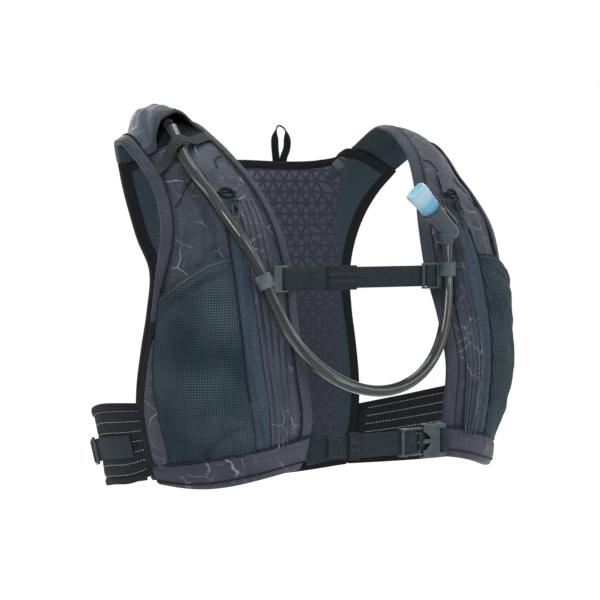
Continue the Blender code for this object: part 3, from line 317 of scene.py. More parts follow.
class Grid:
    """A surface sampled finely, read at arrays of (u, v) with an offset along its normal."""

    def __init__(self, fn, nu, nv, k=4, u0=0.0, u1=1.0, v0=0.0, v1=1.0):
        C = np.array([[fn(u, v) for u in np.linspace(u0, u1, nu)] for v in np.linspace(v0, v1, nv)])
        Au, Av = cubic_rows(nu, (nu - 1) * k + 1), cubic_rows(nv, (nv - 1) * k + 1)
        self.P = np.einsum("ab,bcd,ec->aed", Av, C, Au)
        du, dv = np.gradient(self.P, axis=1), np.gradient(self.P, axis=0)
        self.N = norm_rows(np.cross(du, dv))
        self.u0, self.u1, self.v0, self.v1 = u0, u1, v0, v1
        self.width = np.linalg.norm(np.diff(self.P, axis=1), axis=2).sum(1)
        self.length = np.linalg.norm(np.diff(self.P, axis=0), axis=2).sum(0)

    def at(self, u, v, off=0.0):
        u, v, off = np.broadcast_arrays(np.asarray(u, float), np.asarray(v, float), np.asarray(off, float))
        nv, nu = self.P.shape[:2]
        x = (u - self.u0) / (self.u1 - self.u0) * (nu - 1)
        y = (v - self.v0) / (self.v1 - self.v0) * (nv - 1)
        i = np.clip(np.floor(x).astype(int), 0, nu - 2)
        j = np.clip(np.floor(y).astype(int), 0, nv - 2)
        a, b = (x - i)[..., None], (y - j)[..., None]

        def mix(G):
            return (G[j, i] * (1 - a) + G[j, i + 1] * a) * (1 - b) + (G[j + 1, i] * (1 - a) + G[j + 1, i + 1] * a) * b
        ac, bc = np.clip(a, 0, 1), np.clip(b, 0, 1)
        n = (self.N[j, i] * (1 - ac) + self.N[j, i + 1] * ac) * (1 - bc) + (self.N[j + 1, i] * (1 - ac) + self.N[j + 1, i + 1] * ac) * bc
        return mix(self.P) + norm_rows(n) * off[..., None]

    def wide(self, v):
        return np.interp(v, np.linspace(self.v0, self.v1, len(self.width)), self.width)

    def long(self, u):
        return np.interp(u, np.linspace(self.u0, self.u1, len(self.length)), self.length)


def hash3(i, j, k, seed):
    h = (i.astype(np.int64) * 73856093) ^ (j.astype(np.int64) * 19349663) ^ (k.astype(np.int64) * 83492791) ^ (seed * 2654435761)
    h = (h ^ (h >> 13)) * 1274126177 & 0xFFFFFFFF
    h = (h ^ (h >> 16)) & 0xFFFF
    return h / 65535.0 * 2 - 1


def noise(p, scale, seed=0):
    """Smooth noise in -1..1 at points p (mm); scale is the feature size in mm, one number or three."""
    q = np.asarray(p, float) / np.asarray(scale, float)
    b = np.floor(q).astype(int)
    f = q - b
    f = f * f * f * (f * (f * 6 - 15) + 10)
    out = 0
    for dx in (0, 1):
        for dy in (0, 1):
            for dz in (0, 1):
                w = ((f[..., 0] if dx else 1 - f[..., 0]) * (f[..., 1] if dy else 1 - f[..., 1]) * (f[..., 2] if dz else 1 - f[..., 2]))
                out = out + w * hash3(b[..., 0] + dx, b[..., 1] + dy, b[..., 2] + dz, seed)
    return out


def fbm(p, scale, seed=0, octaves=3):
    out, amp = 0, 1.0
    for k in range(octaves):
        out = out + amp * noise(p, np.asarray(scale, float) / 2**k, seed + 17 * k)
        amp *= 0.5
    return out


def ridged(p, scale, seed=0):
    return 1 - np.abs(noise(p, scale, seed)) * 2


def sstep(x, a, b):
    t = np.clip((np.asarray(x, float) - a) / (b - a), 0, 1)
    return t * t * (3 - 2 * t)


def groove(U, V, pts, width, wmm, lmm):
    """1 on the polyline pts of (u, v), falling off over width mm; wmm and lmm are the size of the (u, v) square."""
    q = np.stack([U * wmm, V * lmm], -1)
    best = np.full(U.shape, 1e9)
    for a, b in zip(pts[:-1], pts[1:]):
        a, b = np.array([a[0] * wmm, a[1] * lmm]), np.array([b[0] * wmm, b[1] * lmm])
        d = b - a
        t = np.clip(((q - a) @ d) / (d @ d), 0, 1)
        best = np.minimum(best, np.linalg.norm(q - (a + t[..., None] * d), axis=-1))
    return np.exp(-(best / width) ** 2)


# ------------------------------------------------------------------ meshes
def add_mesh(name, verts, faces, mats, body, uv=None, fmat=None, smooth=True, slot=None, rep=()):
    me = bpy.data.meshes.new(name)
    me.from_pydata([tuple(v) for v in np.asarray(verts) * MM], [], faces)
    me.update()
    for m in mats if isinstance(mats, (list, tuple)) else [mats]:
        me.materials.append(m.m if hasattr(m, "m") else m)
    if fmat is not None:
        me.polygons.foreach_set("material_index", np.asarray(fmat, np.int32))
    if uv is not None:
        lay = me.uv_layers.new(name="UVMap")
        idx = np.zeros(len(me.loops), np.int32)
        me.loops.foreach_get("vertex_index", idx)
        lay.data.foreach_set("uv", np.asarray(uv, float)[idx].ravel() * 0.01)
    me.polygons.foreach_set("use_smooth", np.full(len(me.polygons), smooth))
    ob = bpy.data.objects.new(name, me)
    scene.collection.objects.link(ob)
    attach(ob, body)
    if rep:
        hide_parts(*rep)
    return ob


def shell(name, T, B, mats, body="vest", ST=None, bulge=0.5, mat_split=False, side=1, **kw):
    """Closed sheet between the grids T (outer) and B (inner), with rounded edges. ST is each point's place in mm."""
    T, B = np.array(T), np.array(B)
    nv, nu = T.shape[:2]
    if ST is None:
        S = np.zeros((nv, nu))
        S[:, 1:] = np.cumsum(np.linalg.norm(np.diff(T, axis=1), axis=2), axis=1)
        R = np.zeros((nv, nu))
        R[1:, :] = np.cumsum(np.linalg.norm(np.diff(T, axis=0), axis=2), axis=0)
        S = S - S[:, nu // 2:nu // 2 + 1]
        ST = np.stack([S, R], -1)
    ids = np.arange(nv * nu).reshape(nv, nu)
    n = nv * nu
    ring = np.r_[ids[0, :], ids[1:, -1], ids[-1, -2::-1], ids[-2:0:-1, 0]]
    C = 0.5 * (T + B)
    out = np.zeros_like(C)
    out[0, :] += norm_rows(C[0, :] - C[1, :])
    out[-1, :] += norm_rows(C[-1, :] - C[-2, :])
    out[:, 0] += norm_rows(C[:, 0] - C[:, 1])
    out[:, -1] += norm_rows(C[:, -1] - C[:, -2])
    out = norm_rows(out)
    th = np.linalg.norm(T - B, axis=2, keepdims=True)
    e1 = (C + (T - C) * 0.7 + out * th * 0.5 * bulge * 0.75).reshape(-1, 3)[ring]
    e2 = (C + out * th * 0.5 * bulge * 1.1).reshape(-1, 3)[ring]
    e3 = (C + (B - C) * 0.7 + out * th * 0.5 * bulge * 0.75).reshape(-1, 3)[ring]
    V = np.concatenate([T.reshape(-1, 3), B.reshape(-1, 3), e1, e2, e3])
    st = ST.reshape(-1, 2)
    UVs = np.concatenate([st, st, st[ring], st[ring], st[ring]])
    a, b, c, d = ids[:-1, :-1].ravel(), ids[:-1, 1:].ravel(), ids[1:, 1:].ravel(), ids[1:, :-1].ravel()
    top = np.stack([a, b, c, d], 1)
    bot = np.stack([a + n, d + n, c + n, b + n], 1)
    m = len(ring)
    r2 = np.roll(ring, -1)
    k = np.arange(m)
    k2 = np.roll(k, -1)
    o1, o2, o3 = 2 * n, 2 * n + m, 2 * n + 2 * m
    walls = np.concatenate([np.stack([r2, ring, o1 + k, o1 + k2], 1), np.stack([o1 + k2, o1 + k, o2 + k, o2 + k2], 1),
                            np.stack([o2 + k2, o2 + k, o3 + k, o3 + k2], 1), np.stack([o3 + k2, o3 + k, ring + n, r2 + n], 1)])
    F = np.concatenate([top, bot, walls])
    fmat = None
    if mat_split:
        fmat = np.r_[np.zeros(len(top)), np.ones(len(bot)), np.zeros(2 * m), np.ones(2 * m)]
    V = V * (side, 1, 1)
    if side < 0:
        F = F[:, ::-1]
    return add_mesh(name, V, F.tolist(), mats, body, uv=UVs, fmat=fmat, **kw)


def sweep(name, rings, mats, body="vest", closed=False, st=None, caps=True, **kw):
    """Closed tube through rings of points (n, k, 3)."""
    R = np.array(rings)
    n, k = R.shape[:2]
    ids = np.arange(n * k).reshape(n, k)
    nx = np.roll(ids, -1, axis=1)
    if closed:
        a, b, c, d = ids, nx, np.roll(nx, -1, axis=0), np.roll(ids, -1, axis=0)
    else:
        a, b, c, d = ids[:-1], nx[:-1], nx[1:], ids[1:]
    F = np.stack([a.ravel(), b.ravel(), c.ravel(), d.ravel()], 1).tolist()
    if caps and not closed:
        F.append(ids[0][::-1].tolist())
        F.append(ids[-1].tolist())
    V = R.reshape(-1, 3)
    # outward orientation by signed volume
    vol = 0.0
    for f in F:
        p0 = V[f[0]]
        for i in range(1, len(f) - 1):
            vol += float(np.dot(p0, np.cross(V[f[i]], V[f[i + 1]])))
    if vol < 0:
        F = [f[::-1] for f in F]
    if st is None:
        s = np.r_[0, np.cumsum(np.linalg.norm(np.diff(R.mean(1), axis=0), axis=1))]
        w = np.zeros((n, k))
        w[:, 1:] = np.cumsum(np.linalg.norm(np.diff(R, axis=1), axis=2), axis=1)
        st = np.stack([w, np.repeat(s[:, None], k, 1)], -1)
    return add_mesh(name, V, F, mats, body, uv=np.asarray(st).reshape(-1, 2), **kw)


def path_frames(P, up=None):
    """Tangents and two normals along points, turned as little as possible; up may be one vector or one for each point."""
    P = np.array(P, float)
    T = norm_rows(np.gradient(P, axis=0))
    if up is None:
        a = np.array([0, 0, 1.0]) if abs(T[0][2]) < 0.8 else np.array([1.0, 0, 0])
        A = []
        for t in T:
            a = a - t * (a @ t)
            a = a / np.linalg.norm(a)
            A.append(a)
        A = np.array(A)
    else:
        up = np.broadcast_to(np.array(up, float), P.shape)
        A = norm_rows(up - T * (up * T).sum(1, keepdims=True))
    return T, A, np.cross(T, A)


def cord_mesh(name, P, r, mats, body="vest", k=8, up=None, **kw):
    T, A, B = path_frames(P, up)
    r = np.broadcast_to(np.asarray(r, float), (len(P),))
    th = np.linspace(0, 2 * math.pi, k, endpoint=False)
    R = np.array(P)[:, None, :] + r[:, None, None] * (np.cos(th)[None, :, None] * A[:, None, :] + np.sin(th)[None, :, None] * B[:, None, :])
    return sweep(name, R, mats, body, **kw)


def strap_rings(P, wdir, width, thick, kw=9, wob=0.0, seed=0):
    """Cross-sections of a flat strap: rounded edges, slightly thinner at the selvedge."""
    P = np.array(P, float)
    T, W, Nn = path_frames(P, wdir)
    width = np.broadcast_to(np.asarray(width, float), (len(P),))
    thick = np.broadcast_to(np.asarray(thick, float), (len(P),))
    xs = np.concatenate([np.linspace(-1, 1, kw)])
    prof = []
    for x in xs:
        prof.append((x, 0.5 * (1 - 0.10 * (abs(x) > 0.85))))
    top = [(x, h) for x, h in prof]
    ring = [(-1.0, 0.0)] + [(x * 0.985, h if abs(x) < 0.999 else h * 0.7) for x, h in top] + [(1.0, 0.0)] + \
           [(x * 0.985, -h if abs(x) < 0.999 else -h * 0.7) for x, h in top[::-1]]
    R = np.zeros((len(P), len(ring), 3))
    st = np.zeros((len(P), len(ring), 2))
    s = np.r_[0, np.cumsum(np.linalg.norm(np.diff(P, axis=0), axis=1))]
    for j, (x, h) in enumerate(ring):
        R[:, j] = P + W * (0.5 * width * x)[:, None] + Nn * (thick * h)[:, None]
        st[:, j, 0] = 0.5 * width * x
        st[:, j, 1] = s
    if wob:
        R = R + Nn[:, None, :] * (fbm(R, 22.0, seed) * wob)[..., None]
    return R, st


def resample(pts, n, extra=None):
    p = Path(pts)
    ts = np.linspace(0, 1, n)
    return np.array([p(t) for t in ts])


def polyline(pts, step=0.8):
    """Points evenly spaced along straight runs with lightly rounded corners."""
    p = np.array(pts, float)
    d = np.linalg.norm(np.diff(p, axis=0), axis=1)
    s = np.r_[0, np.cumsum(d)]
    n = max(8, int(s[-1] / step))
    t = np.linspace(0, s[-1], n)
    q = np.stack([np.interp(t, s, p[:, i]) for i in range(3)], 1)
    for _ in range(3):
        q[1:-1] = 0.25 * q[:-2] + 0.5 * q[1:-1] + 0.25 * q[2:]
    return q


def stitches(name, P, N, mats, body="vest", L=2.5, gap=1.3, r=0.33, side=1, slot="cord", lift=0.1):
    """A row of sewing stitches along points P with surface normals N."""
    P, N = np.array(P, float), norm_rows(np.array(N, float))
    d = np.r_[0, np.cumsum(np.linalg.norm(np.diff(P, axis=0), axis=1))]
    n = max(1, int(d[-1] / (L + gap)))
    s0 = (np.arange(n) + 0.5) * d[-1] / n
    verts, faces = [], []

    def at(s, A):
        return np.stack([np.interp(s, d, A[:, i]) for i in range(3)], -1)
    a, b = at(s0 - L / 2, P), at(s0 + L / 2, P)
    nn = norm_rows(at(s0, N))
    t = norm_rows(b - a)
    w = np.cross(nn, t)
    rings = []
    for f, k, h in ((0.0, 0.35, -0.6), (0.22, 1.0, 0.3), (0.78, 1.0, 0.3), (1.0, 0.35, -0.6)):
        c = a + (b - a) * f + nn * (r * h + lift)
        for ang in range(5):
            th = 2 * math.pi * ang / 5
            rings.append(c + (w * math.cos(th) + nn * math.sin(th)) * r * k)
    R = np.stack(rings, 1)
    V = R.reshape(-1, 3) * (side, 1, 1)
    F = []
    for q in range(n):
        o = q * 20
        for i in range(3):
            for k in range(5):
                k2 = (k + 1) % 5
                F.append((o + i * 5 + k, o + i * 5 + k2, o + (i + 1) * 5 + k2, o + (i + 1) * 5 + k))
        F.append((o + 4, o + 3, o + 2, o + 1, o))
        F.append((o + 15, o + 16, o + 17, o + 18, o + 19))
    if side > 0:
        F = [f[::-1] for f in F]
    return add_mesh(name, V, F, mats, body, slot=slot)


# ------------------------------------------------------------------ materials
class Mat:
    """A small helper around one node tree."""

    def __init__(self, name, rough=0.7, **consts):
        self.m = bpy.data.materials.new(name)
        self.m.use_nodes = True
        self.t = self.m.node_tree
        self.t.nodes.clear()
        self.b = self.t.nodes.new("ShaderNodeBsdfPrincipled")
        o = self.t.nodes.new("ShaderNodeOutputMaterial")
        self.t.links.new(self.b.outputs[0], o.inputs[0])
        self.b.inputs["Roughness"].default_value = rough
        for k, v in consts.items():
            k = k.replace("_", " ")
            self.b.inputs[k].default_value = v
        self._uv = self._ob = None

    def put(self, sock, v):
        if isinstance(v, bpy.types.NodeSocket):
            self.t.links.new(v, sock)
        else:
            sock.default_value = v

    def node(self, kind, ins=None, out=0, **props):
        n = self.t.nodes.new("ShaderNode" + kind)
        for k, v in props.items():
            setattr(n, k, v)
        for k, v in (ins or {}).items():
            self.put(n.inputs[k], v)
        return n.outputs[out]

    def math(self, op, a, b=None, c=None, clampit=False):
        n = self.t.nodes.new("ShaderNodeMath")
        n.operation = op
        n.use_clamp = clampit
        for i, v in enumerate((a, b, c)):
            if v is not None:
                self.put(n.inputs[i], v)
        return n.outputs[0]

    def uv(self):
        if self._uv is None:
            self._uv = self.node("UVMap", uv_map="UVMap")
        return self._uv

    def obj(self):
        if self._ob is None:
            self._ob = self.node("TexCoord", out=3)
        return self._ob

    def sep(self, v):
        n = self.t.nodes.new("ShaderNodeSeparateXYZ")
        self.put(n.inputs[0], v)
        return n.outputs

    def noise(self, scale, detail=2.0, rough=0.5, vec=None, dist=0.0):
        return self.node("TexNoise", {"Vector": vec or self.obj(), "Scale": scale, "Detail": detail, "Roughness": rough, "Distortion": dist})

    def ramp(self, fac, stops, interp="LINEAR"):
        n = self.t.nodes.new("ShaderNodeValToRGB")
        n.color_ramp.interpolation = interp
        e = n.color_ramp.elements
        while len(e) < len(stops):
            e.new(0.5)
        for el, (p, c) in zip(e, stops):
            el.position = p
            el.color = (*c, 1) if len(c) == 3 else c
        self.put(n.inputs[0], fac)
        return n.outputs[0]

    def mixc(self, fac, a, b):
        n = self.t.nodes.new("ShaderNodeMix")
        n.data_type = "RGBA"
        self.put(n.inputs[0], fac)
        for s, v in ((6, a), (7, b)):
            if isinstance(v, tuple):
                v = (*v, 1) if len(v) == 3 else v
            self.put(n.inputs[s], v)
        return n.outputs[2]

    def color(self, v):
        self.put(self.b.inputs["Base Color"], v)

    def rough(self, v):
        self.put(self.b.inputs["Roughness"], v)

    def bump(self, h, dist, strength=1.0, normal=None):
        n = self.t.nodes.new("ShaderNodeBump")
        n.inputs["Strength"].default_value = strength
        n.inputs["Distance"].default_value = dist
        self.put(n.inputs["Height"], h)
        if normal is not None:
            self.put(n.inputs["Normal"], normal)
        self.t.links.new(n.outputs[0], self.b.inputs["Normal"])
        return n.outputs[0]

    def wave(self, coord, period_mm, phase=0.0):
        """Cosine in 0..1 along one UV coordinate (100 mm units)."""
        x = self.math("MULTIPLY", coord, 2 * math.pi * 100 / period_mm)
        if phase:
            x = self.math("ADD", x, phase)
        return self.math("MULTIPLY_ADD", self.math("COSINE", x), 0.5, 0.5)


def sheen(mt, w=0.25, rough=0.5, tint=(0.6, 0.65, 0.75, 1)):
    mt.b.inputs["Sheen Weight"].default_value = w
    mt.b.inputs["Sheen Roughness"].default_value = rough
    mt.b.inputs["Sheen Tint"].default_value = tint
    return mt


def shell_mat(name, base, light, crack, rough=0.62, crackle=1.0):
    """Thin nylon shell printed with pale broken crackle lines."""
    m = Mat(name, rough)
    m.b.inputs["Specular IOR Level"].default_value = 0.16
    warp = m.node("VectorMath", {0: m.obj(), 1: m.node("VectorMath", {0: m.node("TexNoise", {"Vector": m.obj(), "Scale": 26.0, "Detail": 3.0}, out=1), "Scale": 0.035}, operation="SCALE")}, operation="ADD")
    cr = m.node("TexVoronoi", {"Vector": warp, "Scale": 34.0}, feature="DISTANCE_TO_EDGE")
    line = m.ramp(cr, [(0.0, (1, 1, 1)), (0.008, (0.7, 0.7, 0.7)), (0.022, (0, 0, 0))])
    cr2 = m.node("TexVoronoi", {"Vector": warp, "Scale": 78.0}, feature="DISTANCE_TO_EDGE")
    line2 = m.ramp(cr2, [(0.0, (0.7, 0.7, 0.7)), (0.03, (0, 0, 0))])
    mask = m.ramp(m.noise(30.0, 2.0), [(0.47, (0, 0, 0)), (0.63, (1, 1, 1))])
    mask2 = m.ramp(m.noise(52.0, 3.0), [(0.56, (0, 0, 0)), (0.66, (1, 1, 1))])
    k = m.math("ADD", m.math("MULTIPLY", line, mask), m.math("MULTIPLY", line2, mask2), clampit=True)
    k = m.math("MULTIPLY", k, 0.72 * crackle)
    mott = m.math("MULTIPLY_ADD", m.noise(14.0, 4.0, 0.6), 0.8, m.math("MULTIPLY", m.noise(120.0, 5.0, 0.65), 0.2))
    cloud = m.ramp(mott, [(0.33, base), (0.70, light)])
    fine = m.noise(900.0, 1.0)
    c = m.mixc(m.math("MULTIPLY", fine, 0.25), cloud, tuple(x * 0.55 for x in base))
    m.color(m.mixc(k, c, crack))
    s, t = m.sep(m.uv())[:2]
    weave = m.math("MULTIPLY", m.wave(s, 0.9), m.wave(t, 0.9))
    h = m.math("ADD", m.math("MULTIPLY", weave, 0.35), m.math("MULTIPLY", m.noise(150.0, 4.0, 0.6), 1.4))
    h = m.math("ADD", h, m.math("MULTIPLY", m.noise(46.0, 3.0, 0.6, dist=1.3), 5.5))
    m.bump(h, 0.0007, 0.70)
    m.rough(m.ramp(m.noise(60.0, 3.0), [(0.3, (rough - 0.1,) * 3), (0.7, (rough + 0.12,) * 3)]))
    return sheen(m, 0.015, 0.45)


M_SHELL = shell_mat("shell_nylon", (0.014, 0.018, 0.027), (0.046, 0.055, 0.077), (0.24, 0.255, 0.29), 0.46)
M_SHELL_HEM = shell_mat("shell_nylon_hem", (0.015, 0.018, 0.026), (0.042, 0.048, 0.063), (0.22, 0.225, 0.25), 0.52, 1.0)
M_GREYBAND = shell_mat("edge_band_nylon", (0.012, 0.016, 0.024), (0.034, 0.041, 0.058), (0.10, 0.11, 0.135), 0.52, 0.2)
M_HOOD = shell_mat("hood_nylon", (0.030, 0.038, 0.052), (0.060, 0.072, 0.096), (0.15, 0.16, 0.18), 0.5, 0.4)


def woven(name, base, light, rib_s, rib_t, rough=0.7, depth=0.0004, fleck=0.4, bumpw=0.8):
    """Woven tape: ribs across and along, with slight colour variation from yarn to yarn; the colour also follows the
    rib height as painted shade between the ribs and painted highlight on their crests.
    """
    m = Mat(name, rough)
    m.b.inputs["Specular IOR Level"].default_value = 0.08
    s, t = m.sep(m.uv())[:2]
    a, b = m.wave(s, rib_s), m.wave(t, rib_t)
    par = m.math("MULTIPLY", a, b)
    h = m.math("ADD", m.math("MULTIPLY", a, 0.3), m.math("ADD", m.math("MULTIPLY", b, 0.7), m.math("MULTIPLY", par, 0.4)))
    # rib height sets the colour: painted shade in the valleys, painted highlight on the crests; the noise adds
    # yarn-to-yarn fleck
    col = m.ramp(m.math("MULTIPLY_ADD", h, 0.6, m.math("MULTIPLY", m.noise(240.0, 3.0), fleck)), [(0.15, tuple(x * 0.45 for x in base)), (0.5, base), (0.95, light)])
    m.color(col)
    m.bump(h, depth, bumpw)
    return sheen(m, 0.01, 0.4)


M_WEB = woven("nylon_webbing", (0.010, 0.015, 0.019), (0.030, 0.041, 0.049), 2.1, 1.25)
M_BANDEL = woven("tube_band_elastic", (0.014, 0.018, 0.018), (0.036, 0.044, 0.043), 1.0, 2.6, 0.65)
M_KEEP = woven("keeper_elastic", (0.009, 0.012, 0.015), (0.027, 0.033, 0.038), 1.2, 2.0)
M_BLACKBIND = woven("black_binding", (0.005, 0.006, 0.008), (0.019, 0.021, 0.026), 1.6, 1.1, 0.75)
M_TAPE = woven("zip_tape_weave", (0.020, 0.034, 0.052), (0.046, 0.066, 0.094), 1.15, 1.9, 0.6, 0.0003)
M_WING = woven("wing_elastic", (0.006, 0.008, 0.011), (0.027, 0.033, 0.041), 2.4, 1.0, 0.8)


def netting(name, base, light, hole, pitch=2.1, rough=0.75, depth=0.0006, stretch=1.0):
    """Knitted netting: rounded holes in rows, drawn slightly uneven."""
    m = Mat(name, rough)
    m.b.inputs["Specular IOR Level"].default_value = 0.08
    warp = m.node("VectorMath", {0: m.uv(), 1: m.node("VectorMath", {0: m.node("TexNoise", {"Vector": m.obj(), "Scale": 40.0, "Detail": 2.0}, out=1), "Scale": 0.006}, operation="SCALE")}, operation="ADD")
    s, t = m.sep(warp)[:2]
    a, b = m.wave(s, pitch), m.wave(t, pitch * stretch)
    hol = m.ramp(m.math("MULTIPLY", a, b), [(0.30, (0, 0, 0)), (0.62, (1, 1, 1))])
    cloud = m.ramp(m.noise(18.0, 3.0), [(0.35, base), (0.7, light)])
    # the holes are painted near black: painted shade seen through them; the cloud is the yarn's own tone
    m.color(m.mixc(m.math("MULTIPLY", hol, 0.85), cloud, hole))
    m.bump(m.math("SUBTRACT", 1.0, hol), depth, 1.0)
    return sheen(m, 0.01, 0.5)


M_NET = netting("pocket_netting", (0.012, 0.022, 0.029), (0.036, 0.053, 0.063), (0.001, 0.002, 0.003), 2.4)
M_LINING = netting("lining_netting", (0.013, 0.023, 0.031), (0.035, 0.052, 0.063), (0.004, 0.007, 0.010), 2.6, 0.85, 0.0004)


def triangle_mat(name, h=11.5):
    """Air mesh with rows of perforated triangles, each split by three ribs; plain lining netting towards the shoulders."""
    m = Mat(name, 0.8)
    m.b.inputs["Specular IOR Level"].default_value = 0.08
    s, t = m.sep(m.uv())[:2]
    T = m.math("MULTIPLY", t, 100.0 / h)
    S = m.math("MULTIPLY", s, 100.0 / h)
    b = m.math("MULTIPLY_ADD", T, 0.5, m.math("MULTIPLY", S, 0.8660254))
    c = m.math("MULTIPLY_ADD", T, 0.5, m.math("MULTIPLY", S, -0.8660254))
    fb, fc, fa = m.math("FRACT", b), m.math("FRACT", c), m.math("FRACT", T)
    t2 = m.math("GREATER_THAN", m.math("ADD", fb, fc), 1.0)

    def flip(x, k):            # x where k is 0, 1 - x where k is 1
        return m.math("ABSOLUTE", m.math("SUBTRACT", x, k))
    d1, d2 = flip(fb, t2), flip(fc, t2)
    d3 = flip(fa, m.math("SUBTRACT", 1.0, t2))
    mn = m.math("MINIMUM", m.math("MINIMUM", d1, d2), d3)
    mx = m.math("MAXIMUM", m.math("MAXIMUM", d1, d2), d3)
    spoke = m.math("SUBTRACT", m.math("SUBTRACT", 1.0, mx), m.math("MULTIPLY", mn, 2.0))
    edge = m.ramp(mn, [(0.085, (0, 0, 0)), (0.15, (1, 1, 1))])
    rib = m.ramp(spoke, [(0.0, (0.55, 0.55, 0.55)), (0.16, (1, 1, 1))])
    light = m.math("MULTIPLY", edge, rib)
    fade = m.ramp(m.noise(9.0, 2.0), [(0.30, (0.45, 0.45, 0.45)), (0.72, (1, 1, 1))])
    x = m.sep(m.obj())[0]
    z = m.sep(m.obj())[2]
    # the tan pattern dims towards +X and towards the hem: painted shade inside the vest, brightest at the upper -X side
    # where the key light falls
    left = m.ramp(m.math("MULTIPLY_ADD", x, -3.2, m.math("MULTIPLY_ADD", z, 2.6, -0.10)), [(0.10, (0.14, 0.14, 0.14)), (0.95, (1, 1, 1))])
    k = m.math("MULTIPLY", light, m.math("MULTIPLY", fade, left))
    ax = m.math("ABSOLUTE", x)
    mid = m.ramp(ax, [(0.104, (1, 1, 1)), (0.112, (0, 0, 0))])
    # the fine perforations are drawn darker in each colour: painted shade inside the holes
    holes = m.math("MULTIPLY", m.wave(s, 1.7), m.wave(t, 1.7))
    dark = m.mixc(m.math("MULTIPLY", holes, 0.7), (0.030, 0.035, 0.052), (0.012, 0.014, 0.023))
    tan = m.mixc(m.math("MULTIPLY", holes, 0.45), (0.150, 0.152, 0.150), (0.075, 0.077, 0.080))
    pat = m.mixc(k, dark, tan)
    lining = m.mixc(m.math("MULTIPLY", holes, 0.8), (0.026, 0.043, 0.052), (0.010, 0.018, 0.024))
    m.color(m.mixc(mid, lining, pat))
    hgt = m.math("SUBTRACT", m.math("MULTIPLY", m.math("SUBTRACT", 1.0, light), mid), m.math("MULTIPLY", holes, 0.25))
    m.bump(hgt, 0.0009, 0.9)
    return sheen(m, 0.02, 0.5)


M_BACK = triangle_mat("back_air_mesh")


def plastic(name, base, rough=0.38, grain=0.35, edge=(0.10, 0.13, 0.14)):
    m = Mat(name, rough)
    m.b.inputs["Specular IOR Level"].default_value = 0.28
    n1 = m.noise(700.0, 2.0)
    # lighter colour on convex edges, in noisy patches
    convex_edge_mask = m.ramp(m.node("NewGeometry", out=7), [(0.50, (0, 0, 0)), (0.60, (1, 1, 1))])
    convex_edge_patches = m.math("MULTIPLY", convex_edge_mask, m.ramp(m.noise(120.0, 4.0), [(0.4, (0.15,) * 3), (0.75, (0.8,) * 3)]))
    c = m.mixc(m.math("MULTIPLY", m.noise(45.0, 3.0), 0.5), base, tuple(min(1, x * 1.5) for x in base))
    m.color(m.mixc(convex_edge_patches, c, edge))
    m.rough(m.ramp(m.noise(90.0, 4.0), [(0.3, (rough - 0.07,) * 3), (0.75, (rough + 0.14,) * 3)]))
    m.bump(n1, 0.0001, grain)
    return m


M_PLASTIC = plastic("moulded_nylon", (0.014, 0.020, 0.024), 0.36, 0.35, (0.07, 0.09, 0.10))
M_HOOKP = plastic("moulded_nylon_light", (0.019, 0.027, 0.032), 0.40, 0.35, (0.10, 0.13, 0.14))
M_VALVE = plastic("valve_moulding", (0.016, 0.023, 0.030), 0.30, 0.15, (0.09, 0.12, 0.14))
M_LEVER = plastic("lever_moulding", (0.024, 0.032, 0.038), 0.30, 0.15, (0.16, 0.20, 0.22))
M_METAL = plastic("slider_lacquer", (0.005, 0.006, 0.007), 0.30, 0.3, (0.05, 0.055, 0.06))
M_METAL.b.inputs["Metallic"].default_value = 0.35


def braid(name, a, b, pitch=1.5):
    m = Mat(name, 0.7)
    s, t = m.sep(m.uv())[:2]
    d1 = m.wave(m.math("ADD", s, t), pitch)
    d2 = m.wave(m.math("SUBTRACT", s, t), pitch)
    h = m.math("MAXIMUM", d1, d2)
    # the braid's height sets its colour: painted shade in the dips, painted highlight on the crossing yarns, with a
    # little random fleck
    m.color(m.ramp(m.math("MULTIPLY_ADD", h, 0.7, m.math("MULTIPLY", m.noise(300.0), 0.3)), [(0.2, a), (0.9, b)]))
    m.bump(h, 0.0003, 0.8)
    return sheen(m, 0.03, 0.4)


M_CORD = braid("pull_cord", (0.004, 0.005, 0.005), (0.020, 0.023, 0.023))


def thread(name, a, b):
    m = Mat(name, 0.6)
    n = m.noise(1500.0, 2.0)
    m.color(m.ramp(n, [(0.3, a), (0.7, b)]))
    m.bump(n, 0.0001, 0.5)
    return m


M_THREAD = thread("thread_dark", (0.006, 0.006, 0.009), (0.022, 0.022, 0.028))
M_THREADG = thread("thread_grey", (0.075, 0.080, 0.090), (0.13, 0.135, 0.145))
M_THREADP = thread("thread_pale", (0.20, 0.21, 0.21), (0.36, 0.37, 0.36))
M_PIPE = woven("dark_piping", (0.008, 0.008, 0.012), (0.024, 0.024, 0.032), 1.4, 1.0, 0.7, 0.0002)

# clear tube: tinted dark for the dark pack seen in and through it (painted shade), with pale streaks along its length
# that are painted reflections
M_TUBE = Mat("clear_tube", 0.05, Transmission_Weight=0.30, IOR=1.36)
_s, _t = M_TUBE.sep(M_TUBE.uv())[:2]
_v = M_TUBE.node("CombineXYZ", {0: M_TUBE.math("MULTIPLY", _s, 17.0), 1: M_TUBE.math("MULTIPLY", _t, 0.9)})
_l = M_TUBE.node("TexNoise", {"Vector": _v, "Scale": 1.0, "Detail": 3.0, "Roughness": 0.6})
# pale ramp stops: painted reflection streaks; dark stops: painted shade
M_TUBE.color(M_TUBE.ramp(_l, [(0.40, (0.010, 0.013, 0.013)), (0.56, (0.035, 0.042, 0.042)), (0.63, (0.20, 0.23, 0.22)), (0.70, (0.40, 0.44, 0.42))]))
M_TUBE.rough(M_TUBE.ramp(M_TUBE.noise(60.0, 2.0), [(0.3, (0.04,) * 3), (0.7, (0.09,) * 3)]))
